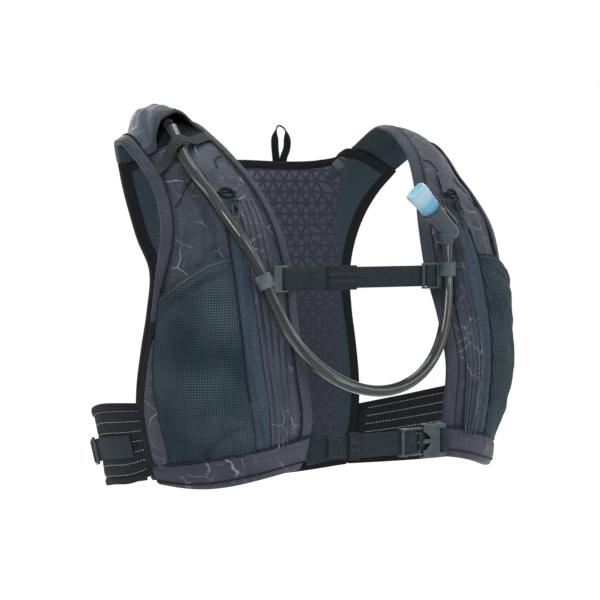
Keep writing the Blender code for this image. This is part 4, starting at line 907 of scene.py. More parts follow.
# translucent bite valve: cyan silicone, paler where it is thick
M_BITE = Mat("bite_silicone", 0.25, Transmission_Weight=0.15, IOR=1.4, Subsurface_Weight=0.25, Subsurface_Scale=0.003)
M_BITE.b.inputs["Subsurface Radius"].default_value = (0.6, 1.0, 1.0)
_t = M_BITE.math("MULTIPLY_ADD", M_BITE.sep(M_BITE.uv())[1], 3.6, M_BITE.math("MULTIPLY_ADD", M_BITE.noise(55.0, 1.0), 0.16, -0.08))
M_BITE.color(M_BITE.ramp(_t, [(0.02, (0.04, 0.17, 0.29)), (0.22, (0.13, 0.27, 0.38)), (0.34, (0.05, 0.29, 0.44)), (0.50, (0.23, 0.36, 0.44)), (0.78, (0.30, 0.41, 0.47)), (0.98, (0.14, 0.34, 0.46))]))
M_BITE.rough(M_BITE.ramp(M_BITE.noise(200.0, 3.0), [(0.3, (0.20,) * 3), (0.7, (0.36,) * 3)]))
M_BITE.bump(M_BITE.noise(400.0, 2.0), 0.0001, 0.3)
M_FILM = Mat("bladder_film", 0.2, Transmission_Weight=0.6, IOR=1.4)
M_FILM.color(M_FILM.ramp(M_FILM.noise(20.0, 3.0), [(0.3, (0.45, 0.60, 0.68)), (0.7, (0.62, 0.74, 0.80))]))
M_FILM.bump(M_FILM.noise(60.0, 4.0), 0.0006, 0.5)

M_TAG = woven("side_tag", (0.030, 0.026, 0.022), (0.075, 0.066, 0.056), 1.0, 1.4, 0.6, 0.0002)

# floor, well below the pack, which is held up as if worn
fm = Mat("pale_floor", 0.85, Emission_Strength=0.10)
fm.color(fm.ramp(fm.noise(3.0, 2.0), [(0.3, (0.955, 0.955, 0.955)), (0.7, (0.975, 0.975, 0.975))]))
me = bpy.data.meshes.new("floor")
me.from_pydata([(-8, -8, -0.5), (8, -8, -0.5), (8, 8, -0.5), (-8, 8, -0.5)], [], [(0, 1, 2, 3)])
me.materials.append(fm.m)
floor = bpy.data.objects.new("floor", me)
scene.collection.objects.link(floor)


def keep(node, mat):
    """The CAD node stays and gets a finished material."""
    o = frame["nodes"][node] if isinstance(frame["nodes"][node], bpy.types.Object) else bpy.data.objects[frame["nodes"][node]]
    mt = mat.m if isinstance(mat, Mat) else mat
    if not o.material_slots:
        o.data.materials.append(mt)
    for sl in o.material_slots:
        sl.material = mt
    return o


# ------------------------------------------------------------------ front panels
SIDES = (("left", 1), ("right", -1))
G_F = Grid(front, 33, 65, 4)
L_F = float(G_F.long(0.5))


def st_front(U, V):
    return np.stack([(U - 0.4) * G_F.wide(V), V * L_F], -1)


def uv_of(u, v):
    return np.meshgrid(u, v)


def table(pts, v):
    p = sorted(pts, key=lambda q: q[1])
    return np.interp(v, [q[1] for q in p], [q[0] for q in p])


def panel_t(u):
    return 3.0 + (PANEL_T - 3.0) * np.sin(math.pi * np.clip(u, 0, 1)) ** 0.5


def wrap(name, grid, edge, span, n, w_top, w_bot, o_top, o_bot, mat, t=1.1, b=1.4, side=1, **kw):
    """Binding folded over an edge of a grid: edge is 'u0', 'u1', 'v0' or 'v1'; widths and offsets may follow the position."""
    s = np.linspace(span[0], span[1], n)

    def val(x):
        return np.broadcast_to(np.asarray(x(s) if callable(x) else x, float), s.shape)
    w_top, w_bot, o_top, o_bot, b = (val(x) for x in (w_top, w_bot, o_top, o_bot, b))
    prof = []
    half, mid = (o_top - o_bot) / 2, (o_top + o_bot) / 2
    for f in (1.0, 0.97, 0.66, 0.33, 0.08):
        prof.append((w_top * f, o_top + 0.28 * np.sin(math.pi * min(f, 0.97)) - (0.5 if f == 1.0 else 0)))
    for a in np.radians(np.linspace(70, -70, 7)):
        prof.append((-b * math.cos(a), mid + half * math.sin(a)))
    for f in (0.08, 0.5, 0.97, 1.0):
        prof.append((w_bot * f, o_bot + (0.5 if f == 1.0 else 0)))
    inner = []
    for f in (0.98, 0.5, 0.12):
        inner.append((w_bot * f, o_bot + t))
    for a in np.radians(np.linspace(-60, 60, 3)):
        inner.append((-(b - t) * math.cos(a), mid + (half - t) * math.sin(a)))
    for f in (0.12, 0.5, 0.98):
        inner.append((w_top * f, o_top - t))
    prof += inner
    R = np.zeros((n, len(prof), 3))
    st = np.zeros((n, len(prof), 2))
    for k, (d, o) in enumerate(prof):
        if edge == "u1":
            u, v = 1 - d / grid.wide(s), s
        elif edge == "u0":
            u, v = d / grid.wide(s), s
        elif edge == "v0":
            u, v = s, grid.v0 + d / grid.long(s)
        else:
            u, v = s, grid.v1 - d / grid.long(s)
        R[:, k] = grid.at(u, v, o)
        st[:, k, 0] = d if k < 12 else -d - 3
    base = R.mean(1)
    st[:, :, 1] = np.r_[0, np.cumsum(np.linalg.norm(np.diff(base, axis=0), axis=1))][:, None]
    R = R * (side, 1, 1)
    return sweep(name, R, mat.m, st=st, **kw)


def line_on(grid, pts, n, off):
    """Points and normals along a smooth (u, v) line on a grid."""
    q = resample([(a, b, 0) for a, b in pts], n)
    P = grid.at(q[:, 0], q[:, 1], off)
    return P, norm_rows(grid.at(q[:, 0], q[:, 1], np.asarray(off) + 1.0) - P)


def seam(name, grid, pts, n, off, side, bead=0.75, row=None, mat=None, thread=None, L=2.4, gap=1.4, r=0.33):
    """A piped seam along (u, v) points, with a row of stitches beside it."""
    P, N = line_on(grid, pts, n, off)
    if bead:
        cord_mesh(name + "_piping", P * (side, 1, 1), bead, (mat or M_PIPE).m, k=6, slot="binding")
    if row is not None:
        T = norm_rows(np.gradient(P, axis=0))
        for k, d in enumerate(row if isinstance(row, (list, tuple)) else [row]):
            Q = P + np.cross(N, T) * d
            stitches(f"{name}_stitch{k}", Q, N, (thread or M_THREAD).m, side=side, L=L, gap=gap, r=r)


ZIPV = np.linspace(0.055, 0.60, 90)
TAPE_NEAR_L = [(.497, .60), (.497, .56), (.493, .519), (.468, .452), (.415, .346), (.362, .25), (.338, .17), (.311, .053)]
TAPE_NEAR_R = [(.345, .60), (.352, .56), (.356, .502), (.338, .411), (.300, .345), (.262, .269), (.237, .202), (.228, .09), (.222, .05)]
TAPE_FAR_L = [(.475, .60), (.470, .55), (.475, .511), (.478, .464), (.455, .401), (.432, .344), (.418, .289), (.405, .247), (.388, .203), (.368, .132), (.340, .053)]
TAPE_FAR_R = [(.335, .60), (.330, .55), (.322, .511), (.311, .443), (.285, .364), (.276, .294), (.264, .249), (.245, .183), (.232, .11), (.208, .05)]
TAPES = {"right": (TAPE_NEAR_L, TAPE_NEAR_R), "left": (TAPE_FAR_L, TAPE_FAR_R)}
PLEAT_R = {"right": [(.143, .60), (.145, .578), (.150, .503), (.106, .309), (.118, .15), (.126, .086), (.122, .05)],
           "left": [(.143, .60), (.140, .578), (.128, .503), (.108, .309), (.112, .15), (.118, .05)]}
HEM_TOP = [(0.0, .078), (.074, .073), (.25, .062), (.503, .051), (.75, .042), (.958, .034), (1.0, .033)]
POCKET_TOP = [(0.40, .474), (0.46, .466), (0.62, .452), (0.79, .424), (0.965, .387)]
POCKET_OUT = [(.860, .03), (.865, .08), (.885, .14), (.918, .20), (.948, .27), (.962, .33), (.966, .40)]


def hem_top(u):
    return np.interp(u, [q[0] for q in HEM_TOP], [q[1] for q in HEM_TOP])


for name, s in SIDES:
    seed = 11 if s < 0 else 37
    near = s < 0
    # ---------------- the padded panel itself: nylon outside, netting inside
    U, V = uv_of(np.linspace(0, 1, 101), np.linspace(0, 0.992, 241))
    P0 = G_F.at(U, V, 0)
    W = G_F.wide(V)
    q = np.stack([U * W, V * L_F * 0.45, np.full(U.shape, seed * 7.0)], -1)
    free = sstep(V, 0.43, 0.50)
    h = -0.7 + free * (0.85 * fbm(P0, 30, seed) + 1.15 * noise(q, 15, seed + 1) * (1 - sstep(V, 0.74, 0.80)) + 0.25 * fbm(P0, 9, seed + 2, 2))
    # soft folds running from the zip towards the armhole seam, above the open pocket
    for pts, wd, amp in (([(0.62, .66), (0.60, .56), (0.56, .47)], 5.0, -1.3), ([(0.74, .64), (0.70, .55), (0.70, .46)], 4.0, 1.5),
                         ([(0.83, .60), (0.80, .52), (0.80, .44)], 3.5, -1.3), ([(0.50, .63), (0.52, .56), (0.50, .50)], 3.2, 1.1)):
        h = h + amp * groove(U, V, pts, wd, 120, L_F)
    # the bundled edge beside the armhole seam
    h = h - 1.0 * np.exp(-(((U - 0.885) * W / 1.6) ** 2)) * sstep(V, 0.42, 0.48)
    h = h - 0.9 * np.exp(-(((U - 0.095) * W / 1.6) ** 2))
    bot = -panel_t(U) + 0.25 * fbm(P0, 20, seed + 5)
    shell("front_shell_" + name, G_F.at(U, V, h), G_F.at(U, V, bot), [M_SHELL.m, M_LINING.m], ST=st_front(U, V), mat_split=True, side=s,
          slot="shell_fabric", rep=("front_panel_" + name,))
    HU, HV = np.linspace(0, 1, 101), np.linspace(0, 0.992, 241)

    def on_shell(pts, n, h=h, lift=0.3):
        """Points (u, v) refined, with the panel's own height at each."""
        q_ = resample([(a_, b_, 0) for a_, b_ in pts], n)
        x_, y_ = np.clip(q_[:, 0] * 100, 0, 99.999), np.clip(q_[:, 1] / 0.992 * 240, 0, 239.999)
        i_, j_ = x_.astype(int), y_.astype(int)
        fa, fb = x_ - i_, y_ - j_
        return (h[j_, i_] * (1 - fa) + h[j_, i_ + 1] * fa) * (1 - fb) + (h[j_ + 1, i_] * (1 - fa) + h[j_ + 1, i_ + 1] * fa) * fb + lift
    # ---------------- flat edge bands and bindings
    wrap("armhole_band_" + name, G_F, "u1", (0.34, 0.990), 180, lambda v: 4.4 + 5.4 * sstep(v, 0.36, 0.50) - 1.4 * sstep(v, 0.8, 0.99), lambda v: 4.8 + 4.0 * sstep(v, 0.36, 0.50),
         lambda v: 1.5 + 0.4 * sstep(v, 0.36, 0.48), -3.8, M_GREYBAND, side=s, slot="binding", rep=("armhole_binding_" + name,))
    wrap("side_binding_" + name, G_F, "u1", (0.004, 0.47), 110, 4.6, 5.0, 1.2, -3.7, M_BLACKBIND, side=s, slot="binding")
    wrap("inner_band_" + name, G_F, "u0", (0.002, 0.990), 190, lambda v: 8.2 + 0 * v, 7.0, lambda v: 1.5 + 0.0 * v, -3.8, M_GREYBAND, side=s, slot="binding")
    vs = np.linspace(0.40, 0.985, 60)
    ub = 1 - (5.2 + 5.3 * sstep(vs, 0.36, 0.50)) / G_F.wide(vs)
    seam("armhole_seam_" + name, G_F, list(zip(ub, vs)), 160, 0.75, s, 0.85, [1.9, 3.2] if near else [1.9], M_PIPE, M_THREAD)
    vs = np.linspace(0.01, 0.985, 80)
    ui = 8.9 / G_F.wide(vs)
    seam("inner_seam_" + name, G_F, list(zip(ui, vs)), 260, 0.65, s, 0.75, [-1.6, -2.9], M_PIPE, M_THREAD)
    # stitched cross seam under the shoulder
    yk = [(.875, .592), (.80, .612), (.70, .640), (.60, .665)]
    seam("yoke_seam_" + name, G_F, yk, 60, on_shell(yk, 60), s, 0.45, [1.5], M_PIPE, M_THREAD)
    fl = [(.15, .705), (.20, .703), (.28, .690), (.315, .672)]
    seam("flap_seam_" + name, G_F, fl, 60, on_shell(fl, 60), s, 0.45, [1.4], M_PIPE, M_THREAD)

    # ---------------- zip tape with its coil, and the pleats beside it
    tl, tr = TAPES[name]
    vv = np.linspace(0.056, 0.602, 200)
    f = np.linspace(0, 1, 25)
    U = (table(tl, vv)[:, None] * f + table(tr, vv)[:, None] * (1 - f))
    V = np.repeat(vv[:, None], 25, 1)
    W = G_F.wide(V)
    cz = np.array([line_uv(ZIP_UV, v) for v in vv])[:, None]
    d = (U - cz) * W
    h = 1.35 + 0.55 * np.exp(-((np.abs(d) - 1.4) / 1.0) ** 2) - 0.35 * np.exp(-(d / 0.55) ** 2) - 0.5 * (np.abs(f - 0.5) * 2) ** 6 * np.ones_like(V)
    st = np.stack([d, V * L_F], -1)
    h = h + 0.25 * fbm(G_F.at(U, V, 0), 26, seed + 8)
    shell("zip_tape_fine_" + name, G_F.at(U, V, h), G_F.at(U, V, h * 0 + 0.25), M_TAPE.m, ST=st, side=s, slot="zip_tape", rep=("zip_tape_" + name,))
    for k, dd in enumerate((-1.35, 1.35)):
        uu = cz[:, 0] + dd / G_F.wide(vv)
        P = G_F.at(uu, vv, 1.75)
        N = G_F.at(uu, vv, 2.75) - P
        stitches(f"zip_coil_{name}_{k}", P, N, M_THREAD.m, side=s, L=1.25, gap=0.75, r=0.42, slot="zip_tape", lift=0.0)
    for k, (tb, dd) in enumerate(((tl, -1.6), (tr, 1.6))):
        uu = table(tb, vv) + dd / G_F.wide(vv)
        P = G_F.at(uu, vv, 1.35)
        N = G_F.at(uu, vv, 2.35) - P
        stitches(f"zip_edge_{name}_{k}", P, N, M_THREAD.m, side=s, L=2.2, gap=1.2, r=0.28, slot="zip_tape", lift=-0.1)
    # piped edge between the tape and the open pocket
    P, N = line_on(G_F, [(a + 0.006, v) for a, v in tl if v > 0.06][::-1], 160, 1.3)
    cord_mesh("tape_piping_" + name, P * (s, 1, 1), 1.0, M_PIPE.m, k=8, slot="binding")

    # pleats: four stitched folds that start together under the sternum strap and widen to the hem
    vv = np.linspace(0.058, 0.592, 210)
    f = np.linspace(0, 1, 61)
    a, b = table(PLEAT_R[name], vv), table(tr, vv) + 0.004
    U = a[:, None] * (1 - f) + b[:, None] * f
    V = np.repeat(vv[:, None], 61, 1)
    W = G_F.wide(V)
    wob = 0.05 * noise(np.stack([V * 11, U * 0, U * 0 + seed], -1), 1.0, seed)
    n_pl = 4
    ph = (f[None, :] + wob * np.sin(math.pi * f[None, :])) * n_pl
    fold = np.abs(np.sin(math.pi * ph)) ** (0.75 if near else 0.9)
    amp = (2.6 if near else 3.6) * sstep(V, 0.60, 0.50) * (0.75 + 0.35 * noise(np.stack([V * 7, np.floor(ph) * 3.1, U * 0], -1), 1.0, seed + 3))
    lean = 0.010 * np.sin(2 * math.pi * ph) * (1.0 if near else 1.6)
    h = 0.9 + amp * fold + 0.35 * fbm(G_F.at(U, V, 0), 11, seed + 4) * fold
    Uq = U + lean * fold * sstep(V, 0.59, 0.52)
    shell("pleats_" + name, G_F.at(Uq, V, h), G_F.at(U, V, h * 0 + 0.3), M_SHELL.m, ST=st_front(U, V), side=s, slot="shell_fabric",
          rep=("pleated_gusset_" + name,))
    for k in range(n_pl + 1):
        fr = min(max(k / n_pl, 0.015), 0.985)
        uu = a * (1 - fr) + b * fr
        P = G_F.at(uu, vv, 1.0)
        N = G_F.at(uu, vv, 2.0) - P
        cord_mesh(f"pleat_line_{name}_{k}", (P * (s, 1, 1))[::2], 0.5, M_PIPE.m, k=5, slot="binding")
        if k < n_pl:
            fs = fr + 0.32 / n_pl
            uu = a * (1 - fs) + b * fs
            hh = 1.0 + (2.6 if near else 3.6) * 0.72 * sstep(vv, 0.60, 0.50)
            P = G_F.at(uu, vv, hh)
            N = G_F.at(uu, vv, hh + 1) - P
            stitches(f"pleat_stitch_{name}_{k}", P, N, M_THREAD.m, side=s, L=2.2, gap=1.6, r=0.3)

    # ---------------- open netting pocket
    vt = np.linspace(0, 1, 150)
    fu = np.linspace(0, 1, 90)
    U = np.zeros((150, 90))
    V = np.zeros((150, 90))
    for it in range(4):
        left = table(tl, V) + 0.010
        right = np.interp(V, [q[1] for q in POCKET_OUT], [q[0] for q in POCKET_OUT])
        U = left + (right - left) * fu[None, :]
        top = np.interp(U, [q[0] for q in POCKET_TOP], [q[1] for q in POCKET_TOP])
        base = np.interp(U, [q[0] for q in HEM_TOP], [q[1] for q in HEM_TOP]) - 0.006
        V = base + (top - base) * vt[:, None]
    x = fu[None, :]
    y = np.clip((V - 0.045) / 0.40, 0, 1)
    off = 1.0 + POCKET_DEPTH * (np.maximum(0.0, 4 * x * (1 - x)) ** 0.62) * np.minimum(1.0, y / 0.35) ** 0.7
    W = G_F.wide(V)
    P0 = G_F.at(U, V, 0)
    m = (np.maximum(0, 4 * x * (1 - x)) ** 0.5)
    for pts, wd, amp in (([(0.97, .335), (0.86, .375), (0.70, .405), (0.56, .425), (0.48, .44)], 2.8, -3.4),
                         ([(0.97, .30), (0.86, .345), (0.72, .378), (0.58, .40)], 6.0, 1.5),
                         ([(0.97, .36), (0.90, .385), (0.82, .402)], 2.6, 1.4),
                         ([(0.62, .055), (0.55, .085), (0.46, .11), (0.38, .115)], 2.8, -3.0),
                         ([(0.80, .06), (0.70, .10), (0.56, .13), (0.44, .15)], 6.5, 1.4),
                         ([(0.95, .22), (0.80, .27), (0.66, .33)], 5.0, -1.9), ([(0.60, .18), (0.60, .28), (0.56, .37)], 4.5, -1.6),
                         ([(0.86, .10), (0.79, .17), (0.74, .26)], 4.5, -1.8)):
        off = off + amp * groove(U, V, pts, wd, 122, L_F) * m
    off = off + m * (1.1 * fbm(P0, 26, seed + 20) + 0.25 * fbm(P0, 7, seed + 21, 2))
    mouth = np.exp(-((vt[:, None] - 1) * 0.40 * L_F / 5.0) ** 2)
    off = off + 0.5 * mouth
    TT, BB = G_F.at(U, V, off + 0.55), G_F.at(U, V, off - 0.45)
    shell("pocket_net_" + name, TT, BB, M_NET.m, ST=st_front(U, V), side=s, slot="pocket_mesh", rep=("mesh_pocket_" + name,))
    # hemmed mouth of the pocket: folded netting with a seam and a bar tack
    rim = (TT[-1] + BB[-1]) / 2
    dn = norm_rows(TT[-6] - TT[-1])
    nn = norm_rows(TT[-1] - BB[-1])
    R = []
    for d0, o in ((-0.6, 0.0), (-0.3, 0.95), (1.5, 1.15), (4.3, 1.05), (5.2, 0.6), (5.2, -0.6), (4.3, -1.0), (1.5, -1.05), (-0.3, -0.95)):
        R.append(rim + dn * d0 + nn * o)
    R = np.stack(R, 1)
    sp = np.r_[0, np.cumsum(np.linalg.norm(np.diff(rim, axis=0), axis=1))]
    st = np.stack([np.repeat(sp[:, None], 9, 1), np.repeat(np.arange(9)[None, :] * 1.3, len(sp), 0)], -1)
    sweep("pocket_hem_" + name, R * (s, 1, 1), M_NET.m, st=st, slot="pocket_mesh")
    stitches("pocket_hem_stitch_" + name, rim + dn * 4.0 + nn * 1.1, nn, M_THREADG.m, side=s, L=1.7, gap=1.9, r=0.22, lift=0.0)
    # outer seam of the pocket
    P = (TT[:, -1] + BB[:, -1]) / 2
    cord_mesh("pocket_side_piping_" + name, P * (s, 1, 1), 1.1, M_PIPE.m, k=8, slot="binding")
    ib = int(89 * 0.63)
    c = TT[-5, ib] + nn[ib] * 0.55
    tt = norm_rows(TT[-5, ib + 3] - TT[-5, ib - 3])
    P = c + tt * np.linspace(-4.5, 4.5, 30)[:, None]
    for k, o in enumerate((-0.5, 0.0, 0.5)):
        stitches(f"pocket_tack_{name}_{k}", P + dn[ib] * o, np.repeat(nn[ib][None], 30, 0), (M_THREAD if k else M_THREADG).m, side=s, L=0.9, gap=0.15, r=0.3)

    # ---------------- lens of shell fabric between the pocket and the side
    vv = np.linspace(0.03, 0.30, 70)
    f = np.linspace(0, 1, 15)
    a = np.interp(vv, [q[1] for q in POCKET_OUT], [q[0] for q in POCKET_OUT]) + 0.006
    b = np.full_like(vv, 0.975)
    U = a[:, None] * (1 - f) + np.maximum(a + 0.004, b)[:, None] * f
    V = np.repeat(vv[:, None], 15, 1)
    h = 0.8 + 2.2 * np.sin(math.pi * f)[None, :] * sstep(V, 0.31, 0.20) + 0.4 * fbm(G_F.at(U, V, 0), 12, seed + 30)
    shell("side_lens_" + name, G_F.at(U, V, h), G_F.at(U, V, h * 0 + 0.1), M_SHELL_HEM.m, ST=st_front(U, V), side=s, slot="shell_fabric")

    # ---------------- wide hem round the foot, with tucks, and piping along its top
    us = np.linspace(0.004, 0.985, 150)
    prof = []
    fr = np.linspace(1, 0, 13)
    R = np.zeros((150, 13 + 7 + 5, 3))
    ht = hem_top(us)
    tuck = 0.9 * ridged(np.stack([us * 125, us * 0, us * 0 + seed], -1), 13.0, seed + 40)
    for k, g in enumerate(fr):
        v = ht * g
        p0 = np.stack([us * 125, np.full_like(us, g * 20), us * 0 + seed], -1)
        o = 2.2 + 1.5 * math.sin(math.pi * min(1, g * 1.05)) + 0.9 * fbm(p0, 15, seed + 41) * math.sin(math.pi * g) ** 0.5 + tuck * 0.35 * g
        if near:
            o = o + 1.7 * np.exp(-((us - 0.46 + 0.10 * (1 - g)) * 125 / 2.6) ** 2) * g - 1.6 * np.exp(-((us - 0.42 + 0.10 * (1 - g)) * 125 / 2.2) ** 2) * g
        if k == 0:
            o = o - 1.1
        R[:, k] = G_F.at(us, v, o)
    bt = panel_t(us)
    for k, aa in enumerate(np.radians(np.linspace(60, -60, 7))):
        R[:, 13 + k] = G_F.at(us, -2.3 * math.cos(aa) / L_F, (2.2 - bt - 0.6) / 2 + (2.2 + bt + 0.6) / 2 * math.sin(aa))
    for k, (vd, oo) in enumerate(((1.5, -0.7), (9.0, -0.7), (9.0, 0.2), (0.5, 0.2))):
        R[:, 20 + k] = G_F.at(us, vd / L_F, -bt + oo)
    R[:, 24] = G_F.at(us, ht * 0.97, 1.4)
    R[:, 23] = G_F.at(us, 0.4 / L_F, 1.0)
    R[:, 22] = G_F.at(us, 0.6 / L_F, -bt + 0.3)
    sp = np.r_[0, np.cumsum(np.linalg.norm(np.diff(R[:, 6], axis=0), axis=1))]
    wv = np.zeros((150, 25))
    wv[:, 1:] = np.cumsum(np.linalg.norm(np.diff(R, axis=1), axis=2), axis=1)
    sweep("hem_" + name, R * (s, 1, 1), M_SHELL_HEM.m, st=np.stack([np.repeat(sp[:, None], 25, 1), wv], -1), slot="shell_fabric", rep=("front_hem_" + name,))
    P, N = G_F.at(us, ht * 1.0 + 0.001, 2.0), None
    cord_mesh("hem_piping_" + name, P * (s, 1, 1), 1.15, M_PIPE.m, k=8, slot="binding")
    g1 = G_F.at(us, ht * 0.30, 4.0)
    N = norm_rows(G_F.at(us, ht * 0.30, 5.0) - g1)
    P = G_F.at(us, ht * 0.22 * (1 - 0.5 * us), 3.4)
    cord_mesh("hem_low_piping_" + name, P * (s, 1, 1), 0.8, M_PIPE.m, k=6, slot="binding")
    P = R[:, 3]
    N = norm_rows(G_F.at(us, ht * 0.75, 5.0) - G_F.at(us, ht * 0.75, 4.0))
    stitches("hem_stitch_" + name, P, N, M_THREAD.m, side=s, L=2.3, gap=1.4, r=0.3)

    # garage: oval loop of tape over the zip's top end
    th = np.linspace(0, 2 * math.pi, 40, endpoint=False)
    c = (line_uv(ZIP_UV, 0.60), 0.604)
    uu, vv = c[0] + 6.5 * np.cos(th) / float(G_F.wide(0.604)), c[1] + 5.0 * np.sin(th) / L_F
    P = G_F.at(uu, vv, 2.4)
    Tn = norm_rows(np.roll(P, -1, 0) - np.roll(P, 1, 0))
    An = norm_rows(G_F.at(uu, vv, 3.4) - P)
    Bn = np.cross(Tn, An)
    t8 = np.linspace(0, 2 * math.pi, 10, endpoint=False)
    R = P[:, None, :] + 1.5 * np.cos(t8)[None, :, None] * Bn[:, None, :] + 1.1 * np.sin(t8)[None, :, None] * An[:, None, :]
    sweep("zip_garage_" + name, R * (s, 1, 1), M_BLACKBIND.m, closed=True, slot="binding")
    # flap of shell fabric that covers the zip above the garage
    U, V = np.meshgrid(np.linspace(c[0] - 0.11, c[0] + 0.10, 40), np.linspace(0.609, 0.665, 30))
    hf = 1.1 + 0.8 * np.exp(-(((U - c[0]) / 0.05) ** 2)) + 0.3 * fbm(G_F.at(U, V, 0), 11, seed + 60)
    shell("zip_flap_" + name, G_F.at(U, V, hf), G_F.at(U, V, 0.15), M_SHELL.m, ST=st_front(U, V), side=s, slot="shell_fabric")
    # small folded tag above the pocket's mouth
    if near:
        U, V = np.meshgrid(0.872 + np.linspace(-2.6, 2.6, 12) / float(G_F.wide(0.42)), np.linspace(0.404, 0.424, 16))
        ht_ = 1.9 + 1.0 * sstep(V, 0.404, 0.42)
        shell("side_tag_" + name, G_F.at(U, V, ht_ + 0.7), G_F.at(U, V, ht_ - 0.2), M_TAG.m, ST=st_front(U, V), side=s, slot="binding")
# ------------------------------------------------------------------ hose hood, elastic band, tube
FREE_TUBE = TUBE_FREE
on_panel = [tuple(surf(front, u, v, h) * (-1, 1, 1)) for u, v, h in TUBE_ON_PANEL]
tube = Path(on_panel + TUBE_FREE)
R_ = np.array((-1, 1, 1))


def hood_off(u, v):
    c = 0.46 - 0.02 * (v - 0.8) / 0.19
    half = 0.36 - 0.09 * sstep(v, 0.8, 0.9)
    x = np.clip(np.abs(u - c) / half, 0, 1)
    return 0.9 + (TUBE_D + 4.0) * (1 - sstep(x, 0.25, 1.0))


HM = [(.865, .730), (.83, .736), (.70, .784), (.545, .816), (.351, .826), (.174, .812), (.10, .800)]
us = np.linspace(0.095, 0.865, 130)
vmouth = np.interp(us, [q[0] for q in HM[::-1]], [q[1] for q in HM[::-1]])
vmouth = np.maximum(vmouth, 0.765)
f = np.linspace(0, 1, 110)[:, None]
U = np.repeat(us[None, :], 110, 0)
V = vmouth[None, :] * (1 - f) + 0.992 * f
W = G_F.wide(V)
h = hood_off(U, V) + 0.4
edge = np.clip((U - 0.095) / 0.07, 0, 1) * np.clip((0.865 - U) / 0.07, 0, 1)
# folds fan out of the mouth's outer corner and run over the crown
P0 = G_F.at(U, V, 0)
ang = np.arctan2((V - 0.765) * L_F, (0.86 - U) * 78.0)
rad = np.hypot((V - 0.765) * L_F, (0.86 - U) * 78.0)
fan = np.sin(ang * 15 + 0.9 * noise(np.stack([rad / 28, ang * 2, U * 0], -1), 1.0, 5)) * np.exp(-rad / 60.0) * sstep(rad, 2, 14)
h = h + edge ** 0.5 * (1.5 * fan + 1.1 * fbm(P0, 26, 71) + 0.3 * fbm(P0, 8, 72, 2))
h = h - (edge ** 0.5) * 1.3 * groove(U, V, [(.84, .79), (.66, .845), (.42, .875), (.2, .87)], 4.0, 80, L_F)
h = h + (edge ** 0.5) * 1.0 * groove(U, V, [(.84, .80), (.68, .87), (.48, .915), (.22, .92)], 4.5, 80, L_F)
h = np.maximum(h, hood_off(U, V) * 0.55 + 0.5)
h = h * edge ** 0.22 + 1.0 * (1 - edge ** 0.22)
T_ = G_F.at(U, V, h + 1.0)
B_ = G_F.at(U, V, np.maximum(h - 0.1, 0.5))
shell("hood_cloth", T_, B_, [M_HOOD.m, M_PIPE.m], ST=st_front(U, V), mat_split=True, side=-1, slot="shell_fabric", rep=("hose_hood",))
rim = (T_[0] + B_[0]) / 2
dn = norm_rows(T_[5] - T_[0])
nn = norm_rows(T_[0] - B_[0])
prof = ((-0.9, 0.0), (-0.6, 1.3), (1.0, 1.9), (6.5, 1.7), (8.2, 1.5), (8.2, 0.2), (6.5, -1.2), (1.0, -1.6), (-0.6, -1.2))
R = np.stack([rim + dn * a + nn * b for a, b in prof], 1)
sp = np.r_[0, np.cumsum(np.linalg.norm(np.diff(rim, axis=0), axis=1))]
st = np.stack([np.repeat(sp[:, None], 9, 1), np.repeat(np.array([0, 1, 3, 8, 10, 11, 13, 18, 20.])[None, :], len(sp), 0)], -1)
sweep("hood_mouth_edge", R * R_, M_GREYBAND.m, st=st, slot="binding")
for k, a in enumerate((1.6, 3.0, 7.2)):
    stitches(f"hood_mouth_stitch_{k}", rim + dn * a + nn * 1.85, nn, M_THREAD.m, side=-1, L=2.2, gap=1.2, r=0.3, lift=0.05)
for k, uu in enumerate((0.10, 0.862)):
    vs = np.linspace(0.80, 0.985, 40)
    P = G_F.at(np.full_like(vs, uu), vs, 1.9)
    cord_mesh(f"hood_side_piping_{k}", P * R_, 0.9, M_PIPE.m, k=6, slot="binding")

# dark sheet on the panel inside the hood's mouth: painted shade for the shadowed hollow under the hood
U2, V2 = np.meshgrid(np.linspace(0.13, 0.84, 40), np.linspace(0.775, 0.985, 50))
shell("hood_lining", G_F.at(U2, V2, 0.62 + 0.2 * fbm(G_F.at(U2, V2, 0), 14, 75)), G_F.at(U2, V2, 0.12), M_BLACKBIND.m, ST=st_front(U2, V2), side=-1, slot="shell_fabric")

# ribbed elastic band over the tube
bf = np.linspace(0, 1, 90)
bu, bvv = 0.925 - (0.925 - 0.085) * bf, 0.709 + (0.777 - 0.709) * bf
x = (bu - 0.56) / 0.12
bh = 2.0 + (TUBE_D + 2.6) * np.exp(-np.abs(x) ** 2.6 / 1.6) - 1.3 * np.exp(-((bf / 0.05) ** 2)) - 1.3 * np.exp(-(((1 - bf) / 0.05) ** 2))
bp = G_F.at(bu, bvv, bh)
bw = G_F.at(bu, bvv + 0.01, 0) - G_F.at(bu, bvv - 0.01, 0)
R, st = strap_rings(bp * R_, bw * R_, 13.0, 1.35, 13, 0.0)
sweep("tube_band_cloth", R, M_BANDEL.m, st=st, slot="elastic", rep=("tube_band",))

